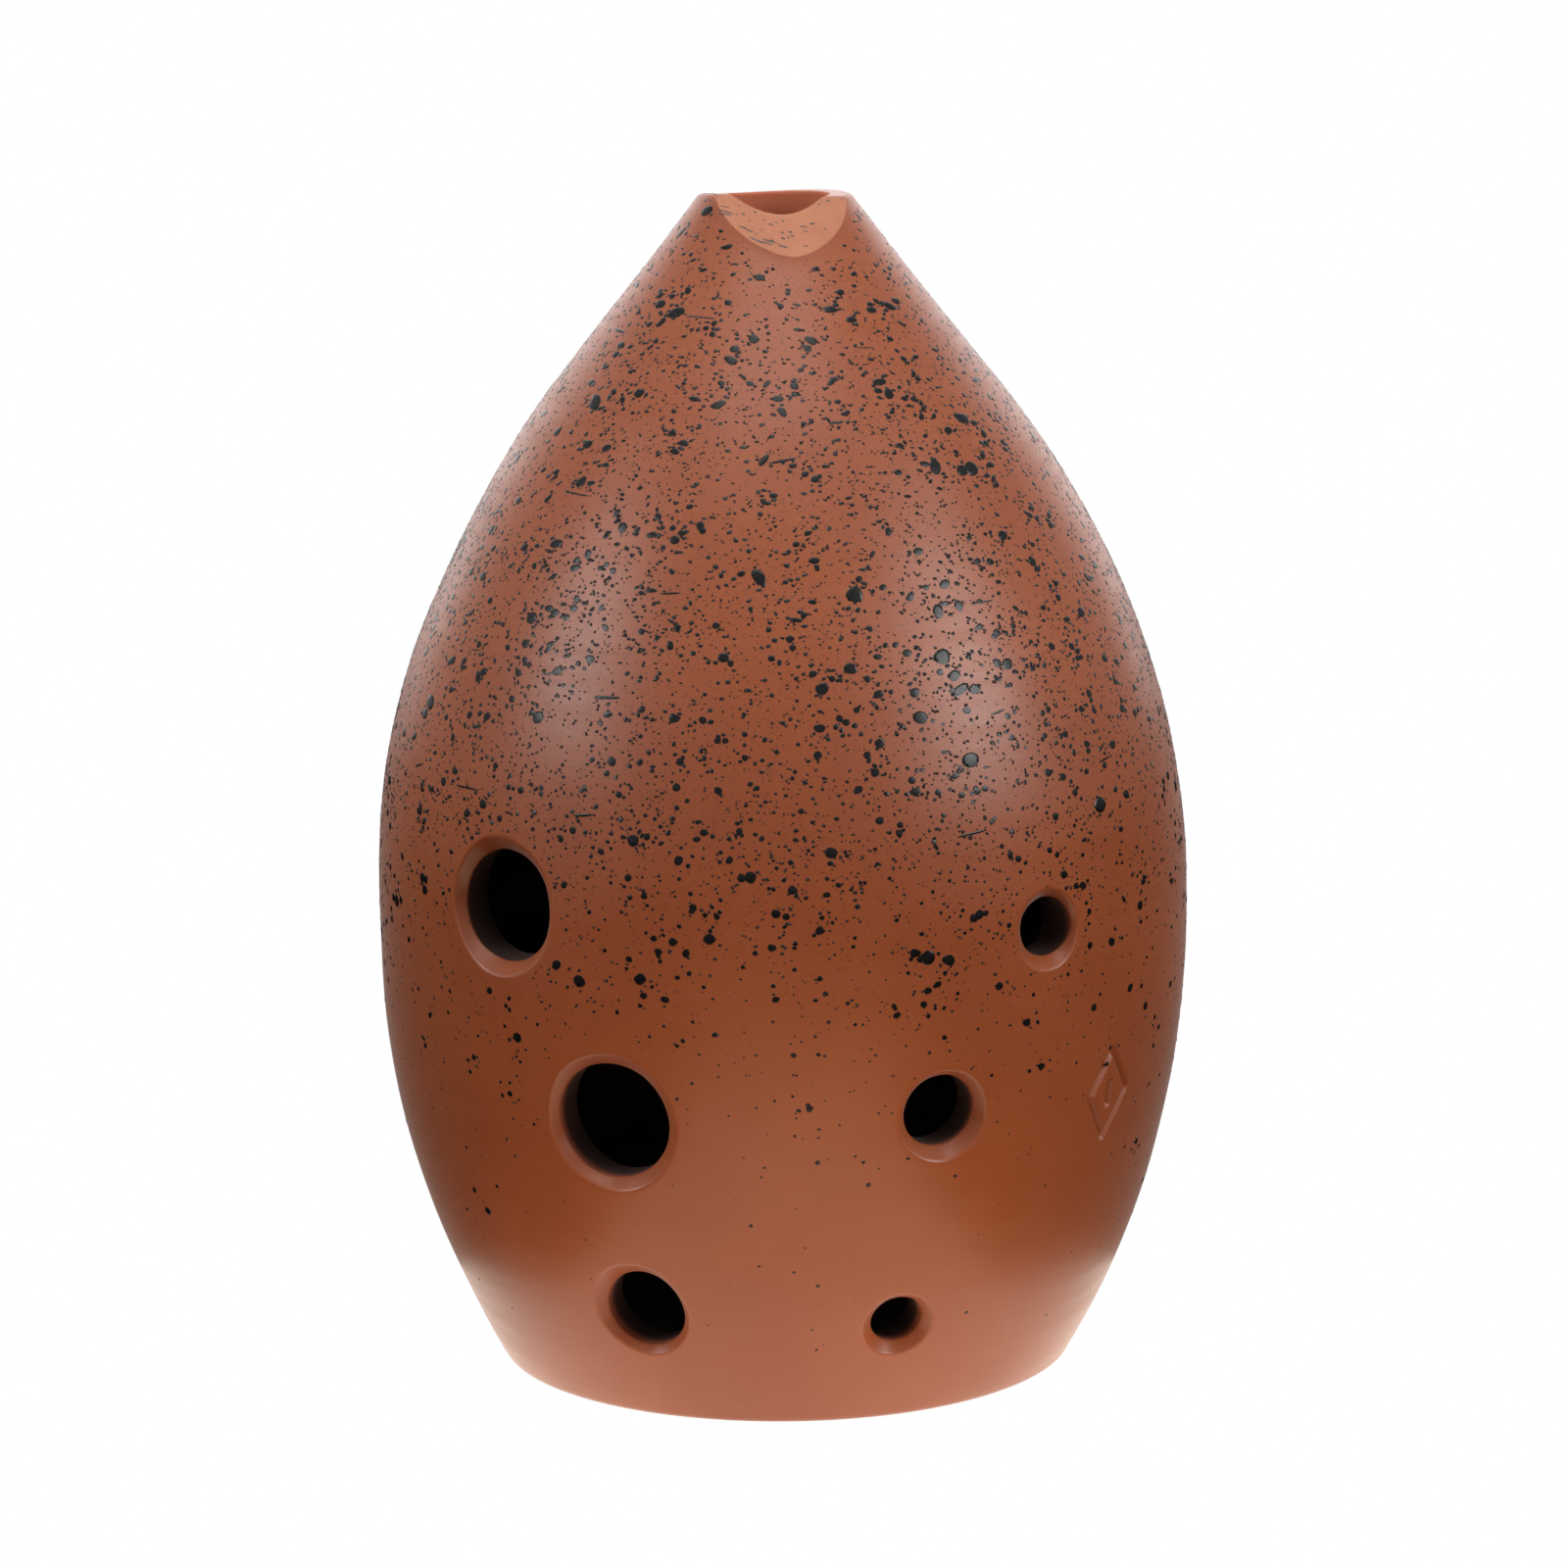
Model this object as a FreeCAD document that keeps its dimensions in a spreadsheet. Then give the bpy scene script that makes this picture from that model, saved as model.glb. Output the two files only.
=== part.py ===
"""Eight-hole clay vessel flute (xun): an egg-shaped pot blown across a notch at its top.

The pot is assembled leather-hard from two thrown bowls, a slab floor and two luting coils.
Frame: millimetres, +Z up, origin at the centre of the foot, finger holes and notch towards -Y.
Azimuths are in degrees about +Z, zero at -Y and positive towards +X.
"""
import FreeCAD, Part
import math
import os
import Sketcher

VECTOR = FreeCAD.Vector
UP = VECTOR(0, 0, 1)
START, END, CENTRE = 1, 2, 3
ORIGIN = (-1, 1)
H_AXIS = -1

SIZES = {
    # outline of the pot, from the foot up: foot arc, flank arc, shoulder arc, neck arc, cone
    "overall_height": 130,
    "belly_height": 55,
    "belly_radius": 45,
    "foot_arc_radius": 93.5,
    "flank_break_height": 40,
    "flank_arc_radius": 185,
    "shoulder_arc_radius": 75,
    "shoulder_break_height": 85,
    "neck_arc_radius": 120,
    "rim_radius": 8.5,
    "wall": 6,
    "foot_edge_round": 0.8,
    # blow hole and blowing notch
    "mouth_bore_radius": 6,
    "rim_edge_round": 0.6,
    "notch_setback": 3.8,
    "notch_slope": 31,
    "notch_azimuth": 10,
    "notch_cutter": 40,
    # joint between the bowls, bevelled so that the upper rim seats inside the lower one
    "seam_height": 48.5,
    "seam_inner_height": 45.5,
    # floor and luting coils
    "floor_thickness": 5,
    "floor_radius": 27.5,
    "floor_edge_chamfer": 0.4,
    "base_coil_top": 8.3,
    "base_coil_width": 3.6,
    "base_coil_hollow": 6,
    "seam_coil_bottom": 42.4,
    "seam_coil_top": 49.6,
    "seam_coil_bulge_radius": 4.2,
    # cutters for the finger holes
    "drill_length": 40,
    "bevel_depth": 2.5,
    "bevel_overshoot": 3,
}

# Each finger hole: bowl it is cut in, then the middle of the bore where it leaves the wall
# (azimuth, height), bore radius, azimuth that the drill points along, and the hand-cut bevel
# round it (azimuth, height, radius at the surface).
HOLE_SIZES = ("azimuth", "height", "bore_radius", "drill_azimuth",
              "bevel_azimuth", "bevel_height", "bevel_radius")
HOLES = {
    "left_upper": ("upper_shell", (-41.6, 57.65, 5.95, -23, -42.3, 57.8, 7.8)),
    "right_upper": ("upper_shell", (39.7, 55.0, 3.2, 34, 39.0, 54.95, 4.5)),
    "left_middle": ("lower_shell", (-25.2, 35.6, 6.35, -20, -25.0, 35.65, 8.15)),
    "right_middle": ("lower_shell", (22.3, 36.6, 4.0, 20, 22.4, 36.2, 5.3)),
    "left_lower": ("lower_shell", (-24.0, 13.6, 4.45, -16, -24.4, 13.7, 6.0)),
    "right_lower": ("lower_shell", (18.7, 12.4, 2.8, 17, 18.35, 12.0, 4.15)),
    "thumb_left": ("upper_shell", (-152, 57.5, 5.2, -160, -152.5, 57.5, 6.4)),
    "thumb_right": ("upper_shell", (152, 57.5, 4.6, 160, 152.5, 57.5, 5.8)),
}


def make_sheet(doc):
    """Write every driving dimension to the spreadsheet, one aliased cell each."""
    sheet = doc.addObject("Spreadsheet::Sheet", "Sizes")
    values = dict(SIZES)
    for hole, (_, numbers) in HOLES.items():
        for word, number in zip(HOLE_SIZES, numbers):
            values[f"{hole}_{word}"] = number
    for row, (alias, number) in enumerate(values.items(), start=1):
        sheet.set(f"A{row}", alias)
        sheet.set(f"B{row}", str(number))
        sheet.setAlias(f"B{row}", alias)
    doc.recompute()
    return sheet


class Outline:
    """The pot's outer outline in the radius-height plane, worked out from the sheet.

    It gives the sketches their starting geometry and the cutters their reach.
    """

    def __init__(self, sheet):
        self.height = sheet.overall_height
        self.rim = (sheet.rim_radius, sheet.overall_height)
        self.radii = {
            "foot": sheet.foot_arc_radius,
            "flank": sheet.flank_arc_radius,
            "shoulder": sheet.shoulder_arc_radius,
            "neck": sheet.neck_arc_radius,
        }
        belly = sheet.belly_radius
        self.centres = {
            "flank": (belly - self.radii["flank"], sheet.belly_height),
            "shoulder": (belly - self.radii["shoulder"], sheet.belly_height),
        }
        self.centres["foot"] = self.tangent_centre("flank", "foot", sheet.flank_break_height)
        self.centres["neck"] = self.tangent_centre(
            "shoulder", "neck", sheet.shoulder_break_height
        )
        self.cone_angle = self.find_cone_angle()
        self.neck_top = self.centres["neck"][1] + self.radii["neck"] * math.sin(self.cone_angle)
        self.spans = (
            ("foot", sheet.flank_break_height),
            ("flank", sheet.belly_height),
            ("shoulder", sheet.shoulder_break_height),
            ("neck", self.neck_top),
        )

    def angle_at(self, arc, height, inset=0.0):
        """Angle on an arc, from the horizontal, of its point at a height."""
        return math.asin((height - self.centres[arc][1]) / (self.radii[arc] - inset))

    def tangent_centre(self, arc, next_arc, height):
        """Centre of the arc that carries on smoothly from another one at a height."""
        angle = self.angle_at(arc, height)
        step = self.radii[arc] - self.radii[next_arc]
        x, z = self.centres[arc]
        return (x + step * math.cos(angle), z + step * math.sin(angle))

    def find_cone_angle(self):
        """Angle at which the straight cone to the rim leaves the neck arc."""
        dx = self.rim[0] - self.centres["neck"][0]
        dz = self.rim[1] - self.centres["neck"][1]
        return math.atan2(dz, dx) - math.acos(self.radii["neck"] / math.hypot(dx, dz))

    def point(self, arc, angle, inset=0.0):
        radius = self.radii[arc] - inset
        x, z = self.centres[arc]
        return (x + radius * math.cos(angle), z + radius * math.sin(angle))

    def radius_at(self, height):
        """Outer radius of the pot at a height."""
        for arc, top in self.spans:
            if height <= top:
                return self.point(arc, self.angle_at(arc, height))[0]
        x, z = self.point("neck", self.cone_angle)
        return x + (self.rim[0] - x) * (height - z) / (self.rim[1] - z)


class Profile:
    """A sketch of half a cross-section, in the XZ plane of its own body."""

    def __init__(self, body, name, outline):
        self.outline = outline
        self.sketch = body.newObject("Sketcher::SketchObject", name)
        plane = [f for f in body.Origin.OriginFeatures if f.Role == "XZ_Plane"][0]
        self.sketch.AttachmentSupport = (plane, [""])
        self.sketch.MapMode = "FlatFace"

    def line(self, start, end):
        segment = Part.LineSegment(VECTOR(*start, 0), VECTOR(*end, 0))
        return self.sketch.addGeometry(segment, False)

    def arc(self, centre, radius, low, high):
        circle = Part.Circle(VECTOR(*centre, 0), UP, radius)
        return self.sketch.addGeometry(Part.ArcOfCircle(circle, low, high), False)

    def outline_arc(self, arc, low, high, inset=0.0):
        return self.arc(self.outline.centres[arc], self.outline.radii[arc] - inset, low, high)

    def tie(self, kind, *places):
        self.sketch.addConstraint(Sketcher.Constraint(kind, *places))

    def size(self, kind, places, value, expression):
        """Add a dimension and bind it to the sheet."""
        index = self.sketch.addConstraint(Sketcher.Constraint(kind, *places, value))
        self.sketch.setExpression(f"Constraints[{index}]", expression)

    def place(self, point, x=None, z=None):
        """Bind a point's radius and height, each given as (value, expression)."""
        for kind, given in (("DistanceX", x), ("DistanceY", z)):
            if given:
                self.size(kind, (*ORIGIN, *point), *given)

    def chain(self, *links):
        """Join the end of one element to the start of the next."""
        for first, second in links:
            self.tie("Coincident", *first, *second)

    def flank_centre(self, arc, sheet):
        """Hang an arc from the flank's centre, which lies beyond the axis at belly height."""
        offset = sheet.flank_arc_radius - sheet.belly_radius
        self.size("DistanceX", (arc, CENTRE, *ORIGIN), offset,
                  "Sizes.flank_arc_radius - Sizes.belly_radius")
        self.place((arc, CENTRE), z=(sheet.belly_height, "Sizes.belly_height"))


def new_body(doc, label):
    body = doc.addObject("PartDesign::Body", label)
    body.Label = label
    return body


def revolve(body, profile):
    """Turn a half cross-section about the pot's axis."""
    body.Document.recompute()
    turned = body.newObject("PartDesign::Revolution", f"{body.Name}_turned")
    turned.Profile = profile.sketch
    turned.ReferenceAxis = (profile.sketch, ["V_Axis"])
    turned.Angle = 360
    profile.sketch.Visibility = False
    body.Document.recompute()
    return turned


def upper_profile(body, sheet, outline):
    """Upper bowl: flank, shoulder and neck arcs and the cone, outside and inside."""
    wall = sheet.wall
    seam = outline.angle_at("flank", sheet.seam_height)
    seam_inner = outline.angle_at("flank", sheet.seam_inner_height, wall)
    shoulder_end = outline.angle_at("shoulder", sheet.shoulder_break_height)
    cone = outline.cone_angle
    bore, top = sheet.mouth_bore_radius, sheet.overall_height
    cone_out = outline.point("neck", cone)
    cone_in = outline.point("neck", cone, wall)
    slope = (outline.rim[1] - cone_out[1]) / (outline.rim[0] - cone_out[0])
    throat = cone_in[1] + (bore - cone_in[0]) * slope

    drawing = Profile(body, "upper_bowl_section", outline)
    flank = drawing.outline_arc("flank", seam, 0.0)
    shoulder = drawing.outline_arc("shoulder", 0.0, shoulder_end)
    neck = drawing.outline_arc("neck", shoulder_end, cone)
    side = drawing.line(cone_out, outline.rim)
    rim = drawing.line(outline.rim, (bore, top))
    blow_hole = drawing.line((bore, top), (bore, throat))
    inner_side = drawing.line((bore, throat), cone_in)
    inner_neck = drawing.outline_arc("neck", shoulder_end, cone, wall)
    inner_shoulder = drawing.outline_arc("shoulder", 0.0, shoulder_end, wall)
    inner_flank = drawing.outline_arc("flank", seam_inner, 0.0, wall)
    joint = drawing.line(
        outline.point("flank", seam_inner, wall), outline.point("flank", seam)
    )

    drawing.flank_centre(flank, sheet)
    drawing.size("Radius", (flank,), sheet.flank_arc_radius, "Sizes.flank_arc_radius")
    drawing.tie("Horizontal", flank, CENTRE, flank, END)
    drawing.tie("Tangent", flank, END, shoulder, START)
    drawing.size("Radius", (shoulder,), sheet.shoulder_arc_radius, "Sizes.shoulder_arc_radius")
    drawing.place((shoulder, END),
                  z=(sheet.shoulder_break_height, "Sizes.shoulder_break_height"))
    drawing.tie("Tangent", shoulder, END, neck, START)
    drawing.size("Radius", (neck,), sheet.neck_arc_radius, "Sizes.neck_arc_radius")
    drawing.tie("Tangent", neck, END, side, START)
    drawing.place((side, END), (sheet.rim_radius, "Sizes.rim_radius"),
                  (top, "Sizes.overall_height"))
    drawing.chain(((side, END), (rim, START)), ((rim, END), (blow_hole, START)),
                  ((blow_hole, END), (inner_side, START)))
    drawing.tie("Horizontal", rim)
    drawing.tie("Vertical", blow_hole)
    drawing.place((rim, END), x=(bore, "Sizes.mouth_bore_radius"))
    drawing.tie("Parallel", inner_side, side)
    drawing.tie("Tangent", inner_neck, END, inner_side, END)
    for inner, outer in ((inner_neck, neck), (inner_shoulder, shoulder), (inner_flank, flank)):
        drawing.tie("Coincident", inner, CENTRE, outer, CENTRE)
    drawing.size("Radius", (inner_neck,), sheet.neck_arc_radius - wall,
                 "Sizes.neck_arc_radius - Sizes.wall")
    drawing.tie("Tangent", inner_shoulder, END, inner_neck, START)
    drawing.tie("Tangent", inner_flank, END, inner_shoulder, START)
    drawing.place((flank, START), z=(sheet.seam_height, "Sizes.seam_height"))
    drawing.place((inner_flank, START), z=(sheet.seam_inner_height, "Sizes.seam_inner_height"))
    drawing.chain(((joint, START), (inner_flank, START)), ((joint, END), (flank, START)))
    return drawing


def lower_profile(body, sheet, outline):
    """Lower bowl: foot and flank arcs, and a straight seat for the floor inside the foot."""
    wall = sheet.wall
    foot_low = outline.angle_at("foot", 0.0)
    foot_high = outline.angle_at("foot", sheet.flank_break_height)
    seam = outline.angle_at("flank", sheet.seam_height)
    seam_inner = outline.angle_at("flank", sheet.seam_inner_height, wall)
    reach = (sheet.floor_radius - outline.centres["foot"][0]) / (outline.radii["foot"] - wall)
    seat_angle = -math.acos(reach)
    seat_top = outline.point("foot", seat_angle, wall)
    seat_foot = (sheet.floor_radius, 0.0)

    drawing = Profile(body, "lower_bowl_section", outline)
    foot = drawing.outline_arc("foot", foot_low, foot_high)
    flank = drawing.outline_arc("flank", foot_high, seam)
    joint = drawing.line(
        outline.point("flank", seam), outline.point("flank", seam_inner, wall)
    )
    inner_flank = drawing.outline_arc("flank", foot_high, seam_inner, wall)
    inner_foot = drawing.outline_arc("foot", seat_angle, foot_high, wall)
    seat = drawing.line(seat_top, seat_foot)
    foot_ring = drawing.line(seat_foot, outline.point("foot", foot_low))

    drawing.flank_centre(flank, sheet)
    drawing.size("Radius", (flank,), sheet.flank_arc_radius, "Sizes.flank_arc_radius")
    drawing.place((flank, START), z=(sheet.flank_break_height, "Sizes.flank_break_height"))
    drawing.tie("Tangent", foot, END, flank, START)
    drawing.size("Radius", (foot,), sheet.foot_arc_radius, "Sizes.foot_arc_radius")
    drawing.tie("PointOnObject", foot, START, H_AXIS)
    drawing.place((flank, END), z=(sheet.seam_height, "Sizes.seam_height"))
    drawing.tie("Coincident", inner_flank, CENTRE, flank, CENTRE)
    drawing.size("Radius", (inner_flank,), sheet.flank_arc_radius - wall,
                 "Sizes.flank_arc_radius - Sizes.wall")
    drawing.place((inner_flank, END), z=(sheet.seam_inner_height, "Sizes.seam_inner_height"))
    drawing.chain(((joint, START), (flank, END)), ((joint, END), (inner_flank, END)))
    drawing.tie("Coincident", inner_foot, CENTRE, foot, CENTRE)
    drawing.tie("Tangent", inner_foot, END, inner_flank, START)
    drawing.chain(((inner_foot, START), (seat, START)), ((seat, END), (foot_ring, START)),
                  ((foot_ring, END), (foot, START)))
    drawing.place((seat, START), x=(sheet.floor_radius, "Sizes.floor_radius"))
    drawing.tie("Vertical", seat)
    drawing.tie("PointOnObject", seat, END, H_AXIS)
    return drawing


def round_edges(body, label, alias, is_wanted):
    """Round the edges of the body's tip that a test picks out."""
    base = body.Tip
    edges = base.Shape.Edges
    names = [f"Edge{i + 1}" for i, edge in enumerate(edges) if is_wanted(edge)]
    if not names:
        raise RuntimeError(f"{label}: no edge to round")
    fillet = body.newObject("PartDesign::Fillet", label)
    fillet.Base = (base, names)
    fillet.setExpression("Radius", f"Sizes.{alias}")
    body.Document.recompute()
    return fillet


def circle_at(radius, height, tolerance=0.1):
    """Test for a full circular edge about the pot's axis at a radius and height."""
    def is_wanted(edge):
        curve = edge.Curve
        if not isinstance(curve, Part.Circle):
            return False
        return (abs(curve.Radius - radius) < tolerance
                and abs(curve.Center.z - height) < tolerance)
    return is_wanted


def remove(body, kind, name, sizes, placement):
    """Add a subtractive primitive and make sure that it took clay away."""
    before = body.Shape.Volume
    cutter = body.newObject(kind, name)
    for size, expression in sizes.items():
        cutter.setExpression(size, expression)
    cutter.setExpression("Placement", placement)
    body.Document.recompute()
    removed = before - body.Shape.Volume
    if removed <= 0:
        raise RuntimeError(f"{name} cut nothing")
    return removed


def outward(azimuth, side, reach, height):
    """Placement, as an expression, of a cutter whose +Z points outward along an azimuth.

    side is the cutter's offset to the right of the pot's axis and reach its distance out.
    """
    turn = f"({azimuth}) * 1 deg"
    x = f"({side}) * cos({turn}) + ({reach}) * sin({turn})"
    y = f"({side}) * sin({turn}) - ({reach}) * cos({turn})"
    return f"placement(vector({x}; {y}; {height}); rotation({azimuth}; 0; 90))"


def cut_notch(body):
    """Slice the front of the rim to a sloping facet, whose back edge is the blowing edge."""
    size = "Sizes.notch_cutter"
    turn = "Sizes.notch_azimuth * 1 deg"
    slope = "Sizes.notch_slope * 1 deg"
    # the cutter is a box whose bottom face is the facet; its near right corner is placed
    along = f"(Sizes.notch_setback + {size} * cos({slope}))"
    x = f"-{size} / 2 * cos({turn}) + {along} * sin({turn})"
    y = f"-{size} / 2 * sin({turn}) - {along} * cos({turn})"
    z = f"Sizes.overall_height - {size} * sin({slope})"
    placement = (f"placement(vector({x}; {y}; {z}); "
                 "rotation(Sizes.notch_azimuth; 0; Sizes.notch_slope))")
    sizes = {"Length": size, "Width": size, "Height": size}
    return remove(body, "PartDesign::SubtractiveBox", "blowing_notch", sizes, placement)


def cut_finger_hole(body, hole, outline, sheet):
    """Drill a finger hole along its own azimuth and bevel its mouth square to the wall."""
    def cell(word):
        return f"Sizes.{hole}_{word}"

    def number(word):
        return getattr(sheet, f"{hole}_{word}")

    surface = outline.radius_at(number("height"))
    skew = f"(({cell('azimuth')} - {cell('drill_azimuth')}) * 1 deg)"
    placement = outward(cell("drill_azimuth"), f"{surface} * sin({skew})",
                        f"{surface} * cos({skew}) - Sizes.drill_length / 2", cell("height"))
    remove(body, "PartDesign::SubtractiveCylinder", f"{hole}_bore",
           {"Radius": cell("bore_radius"), "Height": "Sizes.drill_length"}, placement)

    # the bevel is a 45 degree cone, so each step in depth is the same step in radius
    surface = outline.radius_at(number("bevel_height"))
    placement = outward(cell("bevel_azimuth"), "0", f"{surface} - Sizes.bevel_depth",
                        cell("bevel_height"))
    sizes = {
        "Radius1": f"{cell('bevel_radius')} - Sizes.bevel_depth",
        "Radius2": f"{cell('bevel_radius')} + Sizes.bevel_overshoot",
        "Height": "Sizes.bevel_depth + Sizes.bevel_overshoot",
    }
    remove(body, "PartDesign::SubtractiveCone", f"{hole}_bevel", sizes, placement)


def make_upper_shell(doc, sheet, outline):
    body = new_body(doc, "upper_shell")
    revolve(body, upper_profile(body, sheet, outline))
    round_edges(body, "rim_edge", "rim_edge_round",
                circle_at(sheet.rim_radius, sheet.overall_height))
    cut_notch(body)
    return body


def make_lower_shell(doc, sheet, outline):
    body = new_body(doc, "lower_shell")
    revolve(body, lower_profile(body, sheet, outline))
    foot_radius = outline.radius_at(0.0)
    round_edges(body, "foot_edge", "foot_edge_round", circle_at(foot_radius, 0.0))
    return body


def make_base_disc(doc, sheet):
    """Slab floor, its lower edge chamfered where the joint is smoothed over."""
    body = new_body(doc, "base_disc")
    slab = body.newObject("PartDesign::AdditiveCylinder", "floor_slab")
    slab.setExpression("Radius", "Sizes.floor_radius")
    slab.setExpression("Height", "Sizes.floor_thickness")
    doc.recompute()
    wanted = circle_at(sheet.floor_radius, 0.0)
    names = [f"Edge{i + 1}" for i, edge in enumerate(slab.Shape.Edges) if wanted(edge)]
    chamfer = body.newObject("PartDesign::Chamfer", "floor_lower_edge")
    chamfer.Base = (slab, names)
    chamfer.setExpression("Size", "Sizes.floor_edge_chamfer")
    doc.recompute()
    return body


def make_seam_coil(doc, sheet, outline):
    """Coil smeared over the inside of the girth seam: flat on the wall, bulging inward."""
    body = new_body(doc, "seam_coil")
    wall = sheet.wall
    low = outline.angle_at("flank", sheet.seam_coil_bottom, wall)
    high = outline.angle_at("flank", sheet.seam_coil_top, wall)
    bottom = outline.point("flank", low, wall)
    top = outline.point("flank", high, wall)
    bulge = sheet.seam_coil_bulge_radius
    chord = math.hypot(top[0] - bottom[0], top[1] - bottom[1])
    lean = math.atan2(top[1] - bottom[1], top[0] - bottom[0])
    reach = math.sqrt(bulge ** 2 - (chord / 2) ** 2)
    middle = ((bottom[0] + top[0]) / 2, (bottom[1] + top[1]) / 2)
    centre = (middle[0] + reach * math.sin(lean), middle[1] - reach * math.cos(lean))
    top_angle = math.atan2(top[1] - centre[1], top[0] - centre[0])
    bottom_angle = math.atan2(bottom[1] - centre[1], bottom[0] - centre[0])

    drawing = Profile(body, "seam_coil_section", outline)
    against_wall = drawing.outline_arc("flank", low, high, wall)
    face = drawing.arc(centre, bulge, top_angle, bottom_angle + 2 * math.pi)
    drawing.flank_centre(against_wall, sheet)
    drawing.size("Radius", (against_wall,), sheet.flank_arc_radius - wall,
                 "Sizes.flank_arc_radius - Sizes.wall")
    drawing.place((against_wall, START), z=(sheet.seam_coil_bottom, "Sizes.seam_coil_bottom"))
    drawing.place((against_wall, END), z=(sheet.seam_coil_top, "Sizes.seam_coil_top"))
    drawing.chain(((against_wall, END), (face, START)), ((face, END), (against_wall, START)))
    drawing.size("Radius", (face,), bulge, "Sizes.seam_coil_bulge_radius")
    revolve(body, drawing)
    return body


def make_base_coil(doc, sheet, outline):
    """Coil in the corner between floor and wall, its face pressed hollow by a fingertip."""
    body = new_body(doc, "base_coil")
    wall = sheet.wall
    floor_top = sheet.floor_thickness
    corner = (sheet.floor_radius, floor_top)
    reach = (sheet.floor_radius - outline.centres["foot"][0]) / (outline.radii["foot"] - wall)
    seat_angle = -math.acos(reach)
    seat_top = outline.point("foot", seat_angle, wall)
    top_angle = outline.angle_at("foot", sheet.base_coil_top, wall)
    top = outline.point("foot", top_angle, wall)
    toe = (sheet.floor_radius - sheet.base_coil_width, floor_top)
    hollow = sheet.base_coil_hollow
    chord = math.hypot(top[0] - toe[0], top[1] - toe[1])
    lean = math.atan2(top[1] - toe[1], top[0] - toe[0])
    reach = math.sqrt(hollow ** 2 - (chord / 2) ** 2)
    middle = ((toe[0] + top[0]) / 2, (toe[1] + top[1]) / 2)
    centre = (middle[0] - reach * math.sin(lean), middle[1] + reach * math.cos(lean))
    toe_angle = math.atan2(toe[1] - centre[1], toe[0] - centre[0])
    hollow_top_angle = math.atan2(top[1] - centre[1], top[0] - centre[0])

    drawing = Profile(body, "base_coil_section", outline)
    on_floor = drawing.line(toe, corner)
    on_seat = drawing.line(corner, seat_top)
    on_wall = drawing.outline_arc("foot", seat_angle, top_angle, wall)
    face = drawing.arc(centre, hollow, toe_angle, hollow_top_angle)
    foot_x, foot_z = outline.centres["foot"]
    drawing.chain(((on_floor, END), (on_seat, START)), ((on_seat, END), (on_wall, START)),
                  ((on_wall, END), (face, END)), ((face, START), (on_floor, START)))
    drawing.tie("Horizontal", on_floor)
    drawing.tie("Vertical", on_seat)
    drawing.place((on_floor, END), (corner[0], "Sizes.floor_radius"),
                  (corner[1], "Sizes.floor_thickness"))
    drawing.size("DistanceX", (on_floor, START, on_floor, END), sheet.base_coil_width,
                 "Sizes.base_coil_width")
    # the wall arc is concentric with the foot arc, whose centre follows from the outline
    break_rise = "(Sizes.belly_height - Sizes.flank_break_height)"
    step = "(Sizes.flank_arc_radius - Sizes.foot_arc_radius)"
    run = f"sqrt(Sizes.flank_arc_radius ^ 2 - {break_rise} ^ 2)"
    drawing.size("DistanceX", (on_wall, CENTRE, *ORIGIN), -foot_x,
                 "Sizes.flank_arc_radius - Sizes.belly_radius"
                 f" - {step} * {run} / Sizes.flank_arc_radius")
    drawing.place((on_wall, CENTRE), z=(foot_z, "Sizes.belly_height"
                  f" - {step} * {break_rise} / Sizes.flank_arc_radius"))
    drawing.size("Radius", (on_wall,), sheet.foot_arc_radius - wall,
                 "Sizes.foot_arc_radius - Sizes.wall")
    drawing.place((on_wall, END), z=(sheet.base_coil_top, "Sizes.base_coil_top"))
    drawing.size("Radius", (face,), hollow, "Sizes.base_coil_hollow")
    revolve(body, drawing)
    return body


def check(doc, bodies):
    """Stop if any object failed to compute or any piece isn't one valid solid."""
    for item in doc.Objects:
        bad = [state for state in item.State if state in ("Invalid", "Error")]
        if bad:
            raise RuntimeError(f"{item.Name} is {bad}")
    for body in bodies:
        shape = body.Shape
        if shape.isNull() or not shape.isValid() or len(shape.Solids) != 1:
            raise RuntimeError(f"{body.Label} isn't one valid solid")


def main():
    doc = FreeCAD.newDocument("vessel_flute")
    sheet = make_sheet(doc)
    outline = Outline(sheet)
    shells = {
        "upper_shell": make_upper_shell(doc, sheet, outline),
        "lower_shell": make_lower_shell(doc, sheet, outline),
    }
    for hole, (shell, _) in HOLES.items():
        cut_finger_hole(shells[shell], hole, outline, sheet)
    bodies = [
        *shells.values(),
        make_base_disc(doc, sheet),
        make_seam_coil(doc, sheet, outline),
        make_base_coil(doc, sheet, outline),
    ]
    doc.recompute()
    check(doc, bodies)
    os.makedirs("parts", exist_ok=True)
    for body in bodies:
        body.Shape.exportStep(f"parts/{body.Label}.step")
        box = body.Shape.BoundBox
        print(f"{body.Label}: {body.Shape.Volume / 1000:.2f} cm3, "
              f"{box.XLength:.2f} x {box.YLength:.2f} x {box.ZLength:.2f} mm")


main()
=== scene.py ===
"""Looks of the eight-hole clay vessel flute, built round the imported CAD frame.

Shapes are worked out in millimetres and turned to metres when a mesh is made. Azimuths are
about +Z, zero at -Y (the front) and positive towards +X.
"""
import math

import bmesh
import bpy
import numpy as np
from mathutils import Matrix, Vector
from mathutils.geometry import delaunay_2d_cdt


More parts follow.
